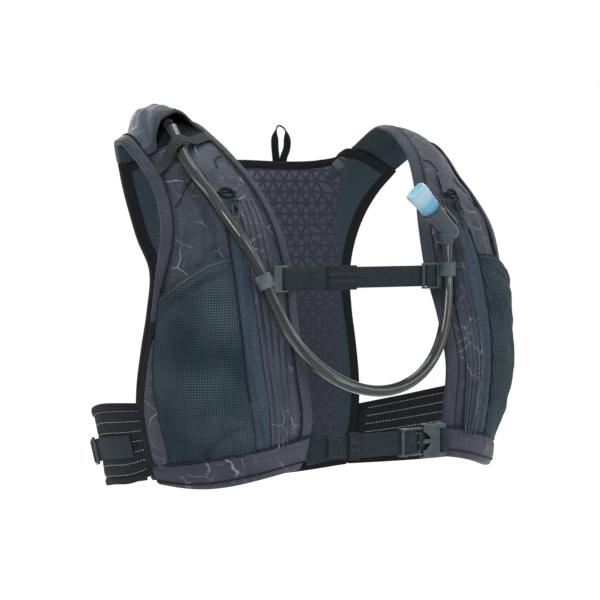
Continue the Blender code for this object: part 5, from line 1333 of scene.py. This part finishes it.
# drinking tube: hollow, so its wall and bore both show
tp = np.array([tube(t) for t in np.linspace(0, 1, 260)])
T, A, B = path_frames(tp, None)
th = np.linspace(0, 2 * math.pi, 28, endpoint=False)
cs, sn_ = np.cos(th)[None, :, None], np.sin(th)[None, :, None]
RO = tp[:, None, :] + 5.5 * (cs * A[:, None, :] + sn_ * B[:, None, :])
RI = tp[:, None, :] + 3.3 * (cs * A[:, None, :] + sn_ * B[:, None, :])
n, k = 260, 28
ido = np.arange(n * k).reshape(n, k)
idi = ido + n * k
F = []
nx = np.roll(ido, -1, axis=1)
F += np.stack([ido[:-1].ravel(), nx[:-1].ravel(), nx[1:].ravel(), ido[1:].ravel()], 1).tolist()
nx = np.roll(idi, -1, axis=1)
F += np.stack([idi[:-1].ravel(), idi[1:].ravel(), nx[1:].ravel(), nx[:-1].ravel()], 1).tolist()
for q, flip in ((0, False), (n - 1, True)):
    a, b = ido[q], np.roll(ido[q], -1)
    c, d = np.roll(idi[q], -1), idi[q]
    face = np.stack([a, d, c, b], 1)
    F += (face[:, ::-1] if flip else face).tolist()
Vt = np.concatenate([RO.reshape(-1, 3), RI.reshape(-1, 3)])
sp = np.r_[0, np.cumsum(np.linalg.norm(np.diff(tp, axis=0), axis=1))]
uvt = np.stack([np.tile(np.repeat(th[None, :] * 5.5, n, 0).ravel(), 2), np.tile(np.repeat(sp[:, None], k, 1).ravel(), 2)], -1)
tube_ob = add_mesh("tube_clear", Vt, F, M_TUBE.m, "vest", uv=uvt, slot="tube", rep=("drinking_tube",))

# ------------------------------------------------------------------ bite valve
TE = np.array(tube(1.0))
TD = unit(tube(1.0) - tube(0.985))
AX = unit((-0.76, -0.12, 0.64))
VB = np.array((97.0, -115.9, 254.0))
ELB = VB + AX * 19.0
MB = VB + AX * (43 + GAP)
SD = unit(np.cross(AX, (0, 1, 0)))
SD = SD if SD[0] > 0 else -SD
LB = ELB + AX * 4 + SD * 9.4
LP = unit(np.cross(AX, SD))


def lathe(name, base, axis, prof, mat, body, k=36, squash=None, side_ax=None, **kw):
    """Turned piece; squash(s) may flatten it across side_ax, as (half width scale, half height scale, squareness)."""
    axis = unit(axis)
    a = side_ax if side_ax is not None else unit(np.cross(axis, (0, 0, 1) if abs(axis[2]) < 0.9 else (1, 0, 0)))
    a = unit(a - axis * (a @ axis))
    b = np.cross(axis, a)
    p = np.array(prof, float)
    d = np.r_[0, np.cumsum(np.linalg.norm(np.diff(p, axis=0), axis=1))]
    t = np.unique(np.concatenate([np.linspace(0, d[-1], 60), d]))
    S, RR = np.interp(t, d, p[:, 0]), np.interp(t, d, p[:, 1])
    th = np.linspace(0, 2 * math.pi, k, endpoint=False)
    rings = []
    for s, r in zip(S, RR):
        wx, wy, e = squash(s) if squash else (1, 1, 2.0)
        c, q = np.cos(th), np.sin(th)
        x = np.sign(c) * np.abs(c) ** (2 / e) * r * wx
        y = np.sign(q) * np.abs(q) ** (2 / e) * r * wy
        rings.append(np.array(base) + axis * s + x[:, None] * a + y[:, None] * b)
    return sweep(name, np.array(rings), mat.m, body, **kw)


valve_ob = lathe("valve_housing", VB, AX, [(0.3, 0.4), (0.2, 3.4), (0.7, 5.2), (1.8, 6.6), (3.5, 7.6), (7, 8.6), (16, 9.0), (28, 9.3), (38, 9.6), (39.3, 9.7),
                 (40.0, 9.2), (40.4, 8.9), (42.6, 8.8), (42.9, 8.3), (43, 0.4)], M_VALVE, "bite_valve", 40, slot="valve_body", rep=("valve_body",))
stem_ob = lathe("valve_stem", TE + TD * 0.25, ELB - TE, [(0, 3.6), (0.05, 6.7), (0.6, 7.1), (2.4, 7.2), (3.0, 6.6), (5, 6.8), (9.5, 7.0), (12, 6.0), (12.1, 0.5)], M_VALVE,
                "bite_valve", 32, slot="valve_body")
# ridges of the grip ring
for k, s in enumerate((30.0, 32.2, 34.4)):
    th = np.linspace(0, 2 * math.pi, 48, endpoint=False)
    a = unit(np.cross(AX, (0, 0, 1)))
    b = np.cross(AX, a)
    P = VB + AX * s + (np.cos(th)[:, None] * a + np.sin(th)[:, None] * b) * 9.35
    T, A, B = norm_rows(np.roll(P, -1, 0) - np.roll(P, 1, 0)), norm_rows(P - (VB + AX * s)), None
    B = np.cross(T, A)
    t8 = np.linspace(0, 2 * math.pi, 8, endpoint=False)
    R = P[:, None, :] + 0.42 * (np.cos(t8)[None, :, None] * A[:, None, :] + np.sin(t8)[None, :, None] * B[:, None, :])
    sweep(f"valve_ridge_{k}", R, M_VALVE.m, "bite_valve", closed=True, slot="valve_body")
# barbed end of the stem inside the tube
barb_ob = lathe("valve_barb", TE - TD * 13, TD, [(0, 0.4), (0, 2.7), (2.6, 3.15), (2.7, 2.7), (5.2, 3.15), (5.3, 2.7), (7.8, 3.15), (7.9, 2.7), (12.9, 2.8), (13, 0.5)],
                M_VALVE, "vest", 20, slot="valve_body")


def bite_sq(s):
    t = min(max((s - 4) / 20.0, 0), 1)
    t = t * t * (3 - 2 * t)
    return 1.02 + 0.03 * t, 1.0 - 0.30 * t, 2.0 + 1.8 * t


wide_ax = unit(np.cross(AX, (0.544, 0.838, -0.046)))
bite_ob = lathe("bite_block", MB, AX, [(0.05, 0.4), (0, 8.6), (0.4, 9.6), (1.3, 9.9), (2.6, 9.9), (3.2, 9.3), (8, 9.7), (16, 10.2), (23.0, 10.5), (24.6, 10.2), (25.6, 9.3),
                 (26, 8.0), (25.4, 5.5), (25.2, 0.5)], M_BITE, "bite_valve", 44, squash=bite_sq, side_ax=wide_ax, slot="bite_silicone", rep=("mouthpiece",))


def at_lever(p):
    return LB + AX * p[0] + LP * p[1] + SD * p[2]


def slab_loop(name, outline, z0, z1, place, mat, body, r=0.7, **kw):
    """Flat moulded piece with rounded rims: outline in two coordinates, z0 to z1 thick."""
    o = np.array(outline, float)
    d = np.linalg.norm(np.roll(o, -1, 0) - o, axis=1)
    c = []
    m = len(o)
    for i in range(m):
        a, b, q = o[i - 1], o[i], o[(i + 1) % m]
        rr = min(r * 1.6, 0.42 * np.linalg.norm(a - b), 0.42 * np.linalg.norm(q - b))
        p0, p1 = b + (a - b) / np.linalg.norm(a - b) * rr, b + (q - b) / np.linalg.norm(q - b) * rr
        for t in np.linspace(0, 1, 5):
            c.append((1 - t) ** 2 * p0 + 2 * t * (1 - t) * b + t * t * p1)
    c = np.array(c)
    area2 = float(np.sum(c[:, 0] * np.roll(c[:, 1], -1) - np.roll(c[:, 0], -1) * c[:, 1]))
    t_ = norm_rows(np.roll(c, -1, 0) - np.roll(c, 1, 0))
    nrm = np.stack([t_[:, 1], -t_[:, 0]], 1) * (1 if area2 > 0 else -1)
    rings = []
    e = min(r, 0.45 * (z1 - z0))
    for ins, z in ((e * 1.6, z0), (e, z0 + 0.02), (e * 0.3, z0 + e * 0.3), (0, z0 + e), (0, z1 - e), (e * 0.3, z1 - e * 0.3), (e, z1 - 0.02), (e * 1.6, z1)):
        q = c - nrm * ins
        rings.append(np.array([place((a, b, z)) for a, b in q]))
    R = np.array(rings)
    n, k = R.shape[:2]
    V = R.reshape(-1, 3)
    V = np.concatenate([V, R[0].mean(0)[None], R[-1].mean(0)[None]])
    ids = np.arange(n * k).reshape(n, k)
    nx = np.roll(ids, -1, 1)
    F = np.stack([ids[:-1].ravel(), nx[:-1].ravel(), nx[1:].ravel(), ids[1:].ravel()], 1).tolist()
    for i in range(k):
        F.append([n * k, int(ids[0, (i + 1) % k]), int(ids[0, i])])
        F.append([n * k + 1, int(ids[-1, i]), int(ids[-1, (i + 1) % k])])
    vol = sum(float(np.dot(V[f[0]], np.cross(V[f[i]], V[f[i + 1]]))) for f in F for i in range(1, len(f) - 1))
    if vol < 0:
        F = [f[::-1] for f in F]
    return add_mesh(name, V, F, mat.m, body, **kw)


lever_ob = slab_loop("lever_blade", [(-15.5, -2.3), (-12, -3.0), (-2, -3.2), (3, -3.2), (6.3, -2.0), (6.5, 0), (6.3, 2.0), (3, 3.2), (-2, 3.2), (-12, 3.0), (-15.5, 2.3), (-16, 0)],
                     1.05, 3.4, at_lever, M_LEVER, "shutoff_lever", 0.8, slot="valve_body", rep=("shutoff_lever",))

# ------------------------------------------------------------------ back panel and its bindings
G_B = Grid(back, 41, 41, 4)
U, V = np.meshgrid(np.linspace(0, 1, 161), np.linspace(0, 1, 151))
Pb = G_B.at(U, V, 0)
T_ = G_B.at(U, V, -0.25 + 0.15 * fbm(Pb, 20, 81))
edge = np.minimum(np.minimum(U, 1 - U) * 220, np.minimum(V * 300, (1 - V) * 300))
thick = 4.6 + 3.4 * sstep(edge, 0, 18)
quilt = 0.9 * groove(U, V, [(0.5, 0.02), (0.5, 0.98)], 3.0, 240, 320) + 0.5 * fbm(Pb, 16, 83)
B_ = G_B.at(U, V, -thick + 1.1 * quilt * sstep(edge, 2, 14))
ST = np.stack([Pb[..., 0], Pb[..., 2]], -1)
shell("back_shell", T_, B_, [M_WING.m, M_BACK.m], ST=ST, mat_split=True, slot="shell_fabric", rep=("back_panel",))
wrap("neck_binding_cloth", G_B, "v0", (0.02, 0.98), 170, 9.0, 10.0, 1.15, -6.2, M_BLACKBIND, slot="binding", rep=("neck_binding",), b=1.6)
wrap("arm_back_binding_left", G_B, "u1", (0.0, 0.99), 150, 7.0, 8.5, 1.0, -6.2, M_BLACKBIND, slot="binding", b=1.6)
wrap("arm_back_binding_right", G_B, "u0", (0.0, 0.99), 150, 7.0, 8.5, 1.0, -6.2, M_BLACKBIND, slot="binding", b=1.6)
wrap("back_hem_binding", G_B, "v1", (0.0, 1.0), 150, 6.0, 8.0, 1.0, -6.2, M_BLACKBIND, slot="binding", b=1.5)
for name, s in SIDES:
    # yoke seam where the front panel meets the back
    us = np.linspace(0.0, 1.0, 60)
    wrap("shoulder_binding_" + name, G_F, "v1", (0.0, 1.0), 60, 5.0, 7.0, 1.6, -4.2, M_BLACKBIND, side=s, slot="binding", b=1.0)

# ------------------------------------------------------------------ side wings
G_W = Grid(wing, 41, 9, 5)
L_W = float(G_W.width.mean())
for name, s in SIDES:
    U, V = np.meshgrid(np.linspace(-0.05, 1.07, 160), np.linspace(0, 1, 60))
    Pw = G_W.at(U, V, 0)
    q = np.stack([U * L_W * 0.4, V * 75, U * 0 + s * 40], -1)
    rib = 0.0
    for k in range(7):
        rib = rib - 0.55 * np.exp(-(((V - (0.10 + 0.135 * k)) * 75 / 1.3) ** 2))
    hh = 1.3 + rib + 0.9 * noise(q, 13, 91 + s) + 0.35 * fbm(Pw, 9, 92, 2)
    e = np.minimum(U, 1 - U) * L_W
    hh = 1.0 + (hh - 1.0) * sstep(e, 0, 8)
    lift = 2.2 * sstep(U, 0.97, 1.05)
    T_ = G_W.at(U, V, hh + lift)
    B_ = G_W.at(U, V, -1.3 + 0.4 * fbm(Pw, 11, 93) + lift)
    ST = np.stack([U * L_W, V * 75], -1)
    ob = shell("wing_cloth_" + name, T_, B_, M_WING.m, ST=ST, side=s, slot="elastic", rep=("side_wing_" + name,))
    for k in range(7):
        vv = 0.10 + 0.135 * k
        uu = np.linspace(0.03, 0.97, 120)
        ph = G_W.at(uu, np.full_like(uu, vv), 0.15 + np.interp(uu, np.linspace(-0.05, 1.07, 160), hh[int(vv * 59)]))
        stitches(f"wing_stitch_{name}_{k}", ph, G_W.at(uu, np.full_like(uu, vv), 5) - G_W.at(uu, np.full_like(uu, vv), 4), M_THREADP.m, side=s, L=2.6, gap=1.2, r=0.26)
        pi = G_W.at(uu, np.full_like(uu, vv), -1.35 + 0.4 * fbm(G_W.at(uu, np.full_like(uu, vv), 0), 11, 93))
        stitches(f"wing_inner_stitch_{name}_{k}", pi, G_W.at(uu, np.full_like(uu, vv), 4) - G_W.at(uu, np.full_like(uu, vv), 5), M_THREADP.m, side=s, L=2.6, gap=1.0, r=0.36)
    for nm, ed in (("low", "v0"), ("top", "v1")):
        wrap(f"wing_binding_{nm}_{name}", G_W, ed, (-0.04, 1.05), 116, 5.5, 5.5, 2.2, -2.2, M_BLACKBIND, side=s, slot="binding", b=1.2)

# ------------------------------------------------------------------ rear cover, its zip and its open pocket
CX, CY, CZ = -34.0, 137.0, 44.0
hose_on_back = [surf(back, u, w, h) for u, w, h in HOSE_ON_BACK]
hose_on_strap = [surf(front, u, v, h) * (-1, 1, 1) for u, v, h in HOSE_ON_STRAP]
hose = Path([(CX - 8.3, CY, CZ), (CX - 20, CY - 0.6, CZ + 0.8), (CX - 33, CY - 4.5, CZ + 9)] + [tuple(p) for p in hose_on_back + hose_on_strap])
hose_pts = np.array([hose(t) for t in frange(0.1, 1, 90)])
CU0, CU1, CW0, CW1 = 0.035, 0.965, 0.014, 0.975


def back_out(u, w):
    """Outward direction of the back panel, evened out around the corner of the neck."""
    q = np.zeros(3)
    for du_, dw_ in ((0, 0.02), (-0.05, 0.05), (0.05, 0.05), (-0.08, 0.10), (0.08, 0.10), (0, 0.12)):
        a, b = clamp(u + du_), clamp(w + dw_)
        q = q + unit(surf(back, a, b, 1.0) - surf(back, a, b, 0.0))
    return unit(q)


def cover(u, w):
    """Inner face of the rear cover: flat over the bladder, with a ridge over the hose at the shoulder."""
    p = surf(back, u, w, 0.0) + back_out(u, w) * (2.0 + 1.6 * (1 - smooth(w, 0.06, 0.2)))
    a, b = clamp((u - 0.10) / 0.80), clamp((w - 0.075) / 0.88)
    f = (max(0.0, 1 - abs(2 * a - 1) ** 5.0) ** 0.8) * (max(0.0, 1 - abs(2 * b - 1) ** 6.0) ** 0.8)
    yc = COMPARTMENT_Y - 1.5
    q = np.array((p[0], p[1] + max(0.0, yc - p[1]) * f, p[2]))
    d = np.linalg.norm(hose_pts - p, axis=1)
    k = int(np.argmin(d))
    n = back_out(u, w)
    h = float((hose_pts[k] - p) @ n)
    lat = math.sqrt(max(0.0, d[k] ** 2 - h**2))
    need = (h + TUBE_D / 2 + 4.0) * (1 - smooth(lat, 10.0, 30.0))
    cur = float((q - p) @ n)
    return q + n * max(0.0, need - cur)


G_C = Grid(cover, 45, 35, 4, CU0, CU1, CW0, CW1)
U, V = np.meshgrid(np.linspace(CU0, CU1, 150), np.linspace(CW0, CW1, 170))
Pc = G_C.at(U, V, 0)
ed = np.minimum(np.minimum(U - CU0, CU1 - U) * 230, np.minimum(V - CW0, CW1 - V) * 310)
flat = (np.abs(Pc[..., 0]) < 92) & (np.abs(Pc[..., 2] - 262) < 14)
calm = 1 - sstep(np.abs(Pc[..., 2] - 262), 26, 12) * sstep(np.abs(Pc[..., 0]), 100, 84)
hh = 1.5 + calm * sstep(ed, 0, 12) * (0.8 * fbm(Pc, 32, 101) + 0.9 * noise(Pc * np.array([0.5, 1, 1]), 17, 102) + 0.2 * fbm(Pc, 8, 103, 2))
hh = np.maximum(hh, 0.7)
stash = sstep(np.abs(Pc[..., 0]), 84, 76) * sstep(Pc[..., 2], 18, 28) * sstep(Pc[..., 2], 186, 176)
hh = np.where(stash > 0, np.minimum(hh, 1.9) * stash + hh * (1 - stash), hh)
ST = np.stack([Pc[..., 0], Pc[..., 2]], -1)
shell("rear_cover_cloth", G_C.at(U, V, hh), G_C.at(U, V, 0.1), M_SHELL.m, ST=ST, slot="shell_fabric", rep=("rear_cover",))
for nm, ed_, rg in (("a", "u0", (CW0, CW1)), ("b", "u1", (CW0, CW1)), ("c", "v0", (CU0, CU1)), ("d", "v1", (CU0, CU1))):
    ss = np.linspace(*rg, 120)
    uu, ww = {"u0": (CU0 + 0.003 + 0 * ss, ss), "u1": (CU1 - 0.003 + 0 * ss, ss), "v0": (ss, CW0 + 0.003 + 0 * ss), "v1": (ss, CW1 - 0.003 + 0 * ss)}[ed_]
    cord_mesh("cover_piping_" + nm, G_C.at(uu, ww, 0.9), 1.3, M_PIPE.m, k=8, slot="binding")
    uu = uu + {"u0": 0.02, "u1": -0.02}.get(ed_, 0)
    ww = ww + {"v0": 0.014, "v1": -0.014}.get(ed_, 0)
    P = G_C.at(uu, ww, 1.75)
    stitches("cover_stitch_" + nm, P, G_C.at(uu, ww, 2.75) - P, M_THREAD.m, L=2.4, gap=1.4, r=0.32)

# rear zip tape with its coil, and the open pocket below it
RZ_Z, RZ_X = 262.0, 74.0
RZ_Y = COMPARTMENT_Y + 1.4
U, V = np.meshgrid(np.linspace(-RZ_X - 8, RZ_X + 8, 160), np.linspace(RZ_Z - 7, RZ_Z + 7, 21))
d = V - RZ_Z
yy = RZ_Y + 1.05 + 0.35 * np.exp(-((np.abs(d) - 1.4) / 1.0) ** 2) - 0.35 * np.exp(-(d / 0.5) ** 2) + 0.12 * fbm(np.stack([U, d, U * 0], -1), 18, 111)
Tz = np.stack([-U, yy, V], -1)
Bz = np.stack([-U, RZ_Y + 0.1 + 0 * U, V], -1)
shell("rear_zip_cloth", Tz, Bz, M_TAPE.m, ST=np.stack([V, U], -1), slot="zip_tape", rep=("rear_zip_tape",))
xs = np.linspace(-RZ_X - 6, RZ_X + 6, 160)
for k, dd in enumerate((-1.35, 1.35)):
    P = np.stack([xs, np.full_like(xs, RZ_Y + 1.3), np.full_like(xs, RZ_Z + dd)], -1)
    stitches(f"rear_coil_{k}", P, np.tile([0, 1.0, 0], (160, 1)), M_THREAD.m, L=1.25, gap=0.75, r=0.42, slot="zip_tape", lift=0)
for k, dd in enumerate((-5.4, 5.4)):
    P = np.stack([xs, np.full_like(xs, RZ_Y + 1.1), np.full_like(xs, RZ_Z + dd)], -1)
    stitches(f"rear_zip_stitch_{k}", P, np.tile([0, 1.0, 0], (160, 1)), M_THREADG.m, L=2.2, gap=1.4, r=0.26)
RP_Z0, RP_Z1, RP_X = 26.0, 176.0, 82.0
K, X = np.meshgrid(np.linspace(0, 1, 100), np.linspace(-RP_X, RP_X, 120), indexing="ij")
Zr = RP_Z0 + (RP_Z1 - RP_Z0) * K
fx = np.maximum(0, 1 - np.abs(X / RP_X) ** 3) ** 0.6
fz = np.minimum(1, (Zr - RP_Z0) / 40) ** 0.7
Yr = COMPARTMENT_Y + 2.4 + 9.0 * fx * fz
Zr2 = Zr - 6 * (1 - (X / RP_X) ** 2) * K
pq = np.stack([X, Yr, Zr2], -1)
Yt = Yr + 0.9 + fx * fz * (0.8 * fbm(pq, 34, 121) + 0.2 * fbm(pq, 9, 122))
shell("rear_net", np.stack([-X, Yt + 0.4, Zr2], -1), np.stack([-X, Yt - 0.5, Zr2], -1), M_NET.m, ST=np.stack([-X, Zr2], -1), slot="pocket_mesh", rep=("rear_mesh_pocket",))
rimr = np.stack([X[-1], Yt[-1], Zr2[-1]], -1)
cord_mesh("rear_net_mouth", rimr, 1.7, M_BLACKBIND.m, k=10, slot="binding")
cord_mesh("rear_net_foot", np.stack([X[0], Yt[0], Zr2[0]], -1), 1.5, M_BLACKBIND.m, k=10, slot="binding")
for k, j in enumerate((0, -1)):
    cord_mesh(f"rear_net_side_{k}", np.stack([X[:, j], Yt[:, j], Zr2[:, j]], -1), 1.5, M_BLACKBIND.m, k=10, slot="binding")

# ------------------------------------------------------------------ straps
SZ, SY = 216.5, -115.0


def flat_strap(name, pts, wdir, width, thick, mat, body="vest", side=1, rep=(), slot="webbing", step=0.8, nw=9):
    """Webbing through points (mm); the width and its direction may change along it."""
    p = np.array(pts, float)
    d = np.r_[0, np.cumsum(np.linalg.norm(np.diff(p, axis=0), axis=1))]
    P = polyline(p, step)
    s = np.r_[0, np.cumsum(np.linalg.norm(np.diff(P, axis=0), axis=1))]
    s = s / s[-1] * d[-1]
    wd = np.broadcast_to(np.asarray(wdir, float), p.shape)
    wd = np.stack([np.interp(s, d, wd[:, i]) for i in range(3)], 1)
    width = np.interp(s, d, np.broadcast_to(np.asarray(width, float), (len(p),)))
    thick = np.interp(s, d, np.broadcast_to(np.asarray(thick, float), (len(p),)))
    R, st = strap_rings(P, wd, width, thick, nw)
    ob = sweep(name, R * (side, 1, 1), mat.m, body, st=st, slot=slot, rep=rep)
    return ob, P, wd, R


main = [(-72, SY + 2.8), (-80, SY + 4.0), (-90, SY + 4.6), (-95.8, SY + 4.6), (-98.0, SY + 3.6), (-98.7, SY + 2.0),
        (-98.0, SY + 0.4), (-95.8, SY - 0.6), (-82, SY - 0.3), (-70, SY + 1.0), (-20, SY + 1.0), (50, SY + 1.0), (57.5, SY + 2.6),
        (62.2, SY + 2.75), (63.9, SY + 0.9), (64.4, SY - 1.0), (66.2, SY - 2.0), (71.6, SY - 2.0), (73.9, SY - 1.0), (74.3, SY + 0.8),
        (73.6, SY + 3.2), (71, SY + 4.4), (62, SY + 4.8), (56, SY + 4.6), (50, SY + 3.2), (-44, SY + 2.9)]
flat_strap("sternum_strap_cloth", [(x, y, SZ) for x, y in main], (0, 0, 1), 20.0, 1.35, M_WEB, rep=("sternum_webbing",), step=0.6)


def bartack(name, x0, x1, y, z0, z1, mat=None, rows=3):
    """Cross stitching on the front of a strap at depth y."""
    lines = [((x0, z0), (x1, z0)), ((x0, z1), (x1, z1)), ((x0, z0), (x0, z1)), ((x1, z0), (x1, z1)), ((x0, z0), (x1, z1)), ((x0, z1), (x1, z0))]
    for k, (a, b) in enumerate(lines):
        P = np.array([(a[0] + (b[0] - a[0]) * t, y, a[1] + (b[1] - a[1]) * t) for t in np.linspace(0, 1, 20)])
        stitches(f"{name}_{k}", P, np.tile([0, -1.0, 0], (20, 1)), (mat or M_THREAD).m, L=1.5, gap=0.5, r=0.32, lift=0.05)


bartack("sternum_tack_a", -84.0, -72.0, SY - 0.85, SZ - 6.5, SZ + 6.5)
bartack("sternum_tack_b", -68.0, -56.0, SY + 0.25, SZ - 6.5, SZ + 6.5)
k0, k1 = SY + 1.95 - 2.1 - GAP, SY + 1.95 + 2.1 + GAP


def keeper(name, x0, x1, ya, yb, za, zb, t, body, rep, mat):
    """Elastic loop round a strap: inner opening ya..yb by za..zb, wall t."""
    m = 60
    c = []
    ry, rz = (yb - ya) / 2, (zb - za) / 2
    cy, cz = (ya + yb) / 2, (za + zb) / 2
    rings = []
    xs = np.linspace(x0, x1, 26)
    th = np.linspace(0, 2 * math.pi, m, endpoint=False)

    def sq(a, b, e=0.16):
        x = np.sign(np.cos(th)) * np.abs(np.cos(th)) ** e
        y = np.sign(np.sin(th)) * np.abs(np.sin(th)) ** (e * 2.2)
        return a * x, b * y
    oy, oz = sq(ry + t, rz + t)
    iy, iz = sq(ry, rz)
    V = []
    prof = []
    for x in xs:
        rib = 0.14 * math.cos((x - x0) * 2 * math.pi / 1.9)
        prof.append((x, 1.0, rib))
    for x, f, rib in prof:
        V.append(np.stack([np.full(m, x), cy + oy * (1 + rib / (ry + t) * 0.5), cz + oz * (1 + rib / (rz + t) * 0.3)], -1))
    for x in xs[::-1]:
        V.append(np.stack([np.full(m, x), cy + iy, cz + iz], -1))
    R = np.array(V)
    s = np.concatenate([xs, xs[::-1]])
    st = np.stack([np.repeat(th[None] * 9, len(R), 0), np.repeat(s[:, None], m, 1)], -1)
    return sweep(name, R, mat.m, body, closed=True, st=st, slot="elastic", rep=(rep,))


keeper("sternum_keeper_cloth", -50, -18, k0, k1, SZ - 10.4, SZ + 10.4, 1.15, "sternum_keeper", "sternum_keeper", M_KEEP)
rp = min((tube(t) for t in frange(0.85, 1.0, 200)), key=lambda p: abs(p[2] - (SZ + 6.5)))
RX, RY = float(rp[0]), float(rp[1])


def on_left(x, z, off):
    u, v = 0.15, 0.40
    for _ in range(30):
        q = surf(front, u, v, off)
        u += (x - q[0]) / 150.0
        v += (z - q[2]) / 560.0
    return surf(front, u, v, off)


TY = RY + 6.7 - 1.2
flat_strap("anchor_strap_cloth", [on_left(103, SZ - 24, 2.6), on_left(103, SZ - 17, 2.6), (103, TY - 1.0, SZ - 9), (103, TY, SZ - 5), (103, TY, SZ + 6),
                                  on_left(103, SZ + 13, 2.4), on_left(103, SZ + 20, 2.4)], (1, 0, 0), 5.0, 1.35, M_WEB, rep=("anchor_loop_left",), nw=7)

WZ, WY = 58.5, -128.0
HW = 11.0
BAR0, BAR1 = 29.5, 40.5
lay0, lay1 = WY + 2.05, WY - 2.05
path = [(-76.5, -119.5), (-70, -121.0), (-60, -124.6), (-50, lay0), (0, lay0), (BAR1 - 1, lay0), (BAR1 + 1.6, lay0 - 0.75), (BAR1 + 2.4, WY),
        (BAR1 + 1.6, lay1 + 0.75), (BAR1 - 1, lay1), (0, lay1), (-28, lay1 + 0.2), (-38.5, lay1 + 1.35), (-41, lay1 + 1.55), (-58, lay1 + 1.55)]
flat_strap("waist_strap_cloth", [(x, y, WZ) for x, y in path], (0, 0, 1), [32, 30, 25] + [22] * 12, [1.35] * 13 + [2.3, 2.3], M_WEB,
           rep=("waist_webbing",), step=0.6)
bartack("waist_tack_a", -57.0, -45.0, lay1 + 0.35, WZ - 8, WZ + 8)
keeper("waist_keeper_cloth", -37, -25, lay1 - 0.95, lay0 + 1.1, WZ - HW - 0.5, WZ + HW + 0.5, 1.15, "waist_keeper", "waist_keeper", M_KEEP)
flat_strap("waist_short_cloth", [(x, y, WZ) for x, y in ((77.9, WY + 7.2), (77.2, WY + 5.4), (74.5, WY + 4.4), (72.2, WY + 4.1), (70.5, WY + 2.4),
                                 (70.3, WY - 3.6), (71.6, WY - 5.7), (74.0, WY - 6.0), (78.0, WY - 5.2))], (0, 0, 1), 22.0, 1.35, M_WEB,
           rep=("waist_anchor_webbing",), step=0.5)
# woven tab under the near panel's edge, where the waist strap is sewn in
for name, s in SIDES:
    vv = 0.46
    pts, wd = [], []
    for u in frange(0.10, 0.46, 9):
        pts.append(surf(wing, u, vv, 3.0))
        wd.append(wing(u, vv + 0.1) - wing(u, vv - 0.1))
    n = unit(surf(wing, 0.50, vv, 2) - surf(wing, 0.50, vv, 1))
    t = unit(wing(0.52, vv) - wing(0.48, vv))
    t = unit(t - n * (t @ n))
    wz = unit(wing(0.5, vv + 0.1) - wing(0.5, vv - 0.1))
    wz = unit(wz - t * (wz @ t))
    nn = np.cross(t, wz)
    nn = nn if nn @ n > 0 else -nn
    c = surf(wing, 0.50, vv, 1.6 + 4.6)

    def sp(p, c=c, t=t, nn=nn, wz=wz):
        return c + t * p[0] + nn * p[1] + wz * p[2]
    pts = pts[:-1] + [sp((-6.8, -2.6, 0)), sp((-3.6, -2.5, 0)), sp((-2.2, -0.8, 0)), sp((-2.2, 0.9, 0)), sp((-0.6, 2.4, 0)),
                      sp((3.2, 2.45, 0)), sp((5.3, 1.4, 0)), sp((5.3, -1.0, 0))]
    wd = [unit(q) for q in wd[:-1]] + [wz] * 8
    flat_strap("side_strap_cloth_" + name, pts, wd, 22.0, 1.35, M_WEB, side=s, rep=("side_webbing_" + name,), step=0.6)

lp = [(47.5, 128.8, 326), (46.5, 128.4, 335), (44.5, 127.4, 348), (44.5, 126.6, 360), (48.5, 126.4, 369), (54.5, 126.4, 367), (59.5, 127.0, 356),
      (59.5, 127.6, 345), (56.0, 128.4, 335), (55.5, 128.8, 326)]
lq = Path(lp)
lpp = np.array([lq(t) for t in np.linspace(0, 1, 110)])
lw = np.stack([np.interp(np.linspace(0, 1, 110), (0, 0.3, 0.44, 0.56, 0.7, 1), q) for q in ((0.85, 0.8, 0.45, 0.45, 0.9, 0.9), (-0.35, -0.25, 0.9, 0.9, -0.2, -0.3), (0, 0, 0, 0, 0, 0))], 1)
R, st = strap_rings(lpp, lw, 8.0, 1.25, 7)
sweep("hang_loop_cloth", R, M_BLACKBIND.m, st=st, slot="webbing", rep=("hang_loop",))

# ------------------------------------------------------------------ moulded and metal pieces keep their CAD shape
for n in ("sternum_ladder", "waist_buckle_male", "waist_buckle_female", "buckle_arm_upper", "buckle_arm_lower", "side_ladder_left", "side_ladder_right",
          "bladder_closure", "connector_button"):
    keep(n, M_PLASTIC)
keep("sternum_hook", M_HOOKP)
for n in ("zip_slider_left", "zip_slider_right", "rear_zip_slider"):
    keep(n, M_METAL)
for n in ("zip_pull_left", "zip_pull_right", "rear_zip_pull"):
    keep(n, M_CORD)
keep("bladder", M_FILM)
for n in ("hose_connector", "bladder_outlet"):
    keep(n, M_VALVE)
keep("hose_inner", M_TUBE)
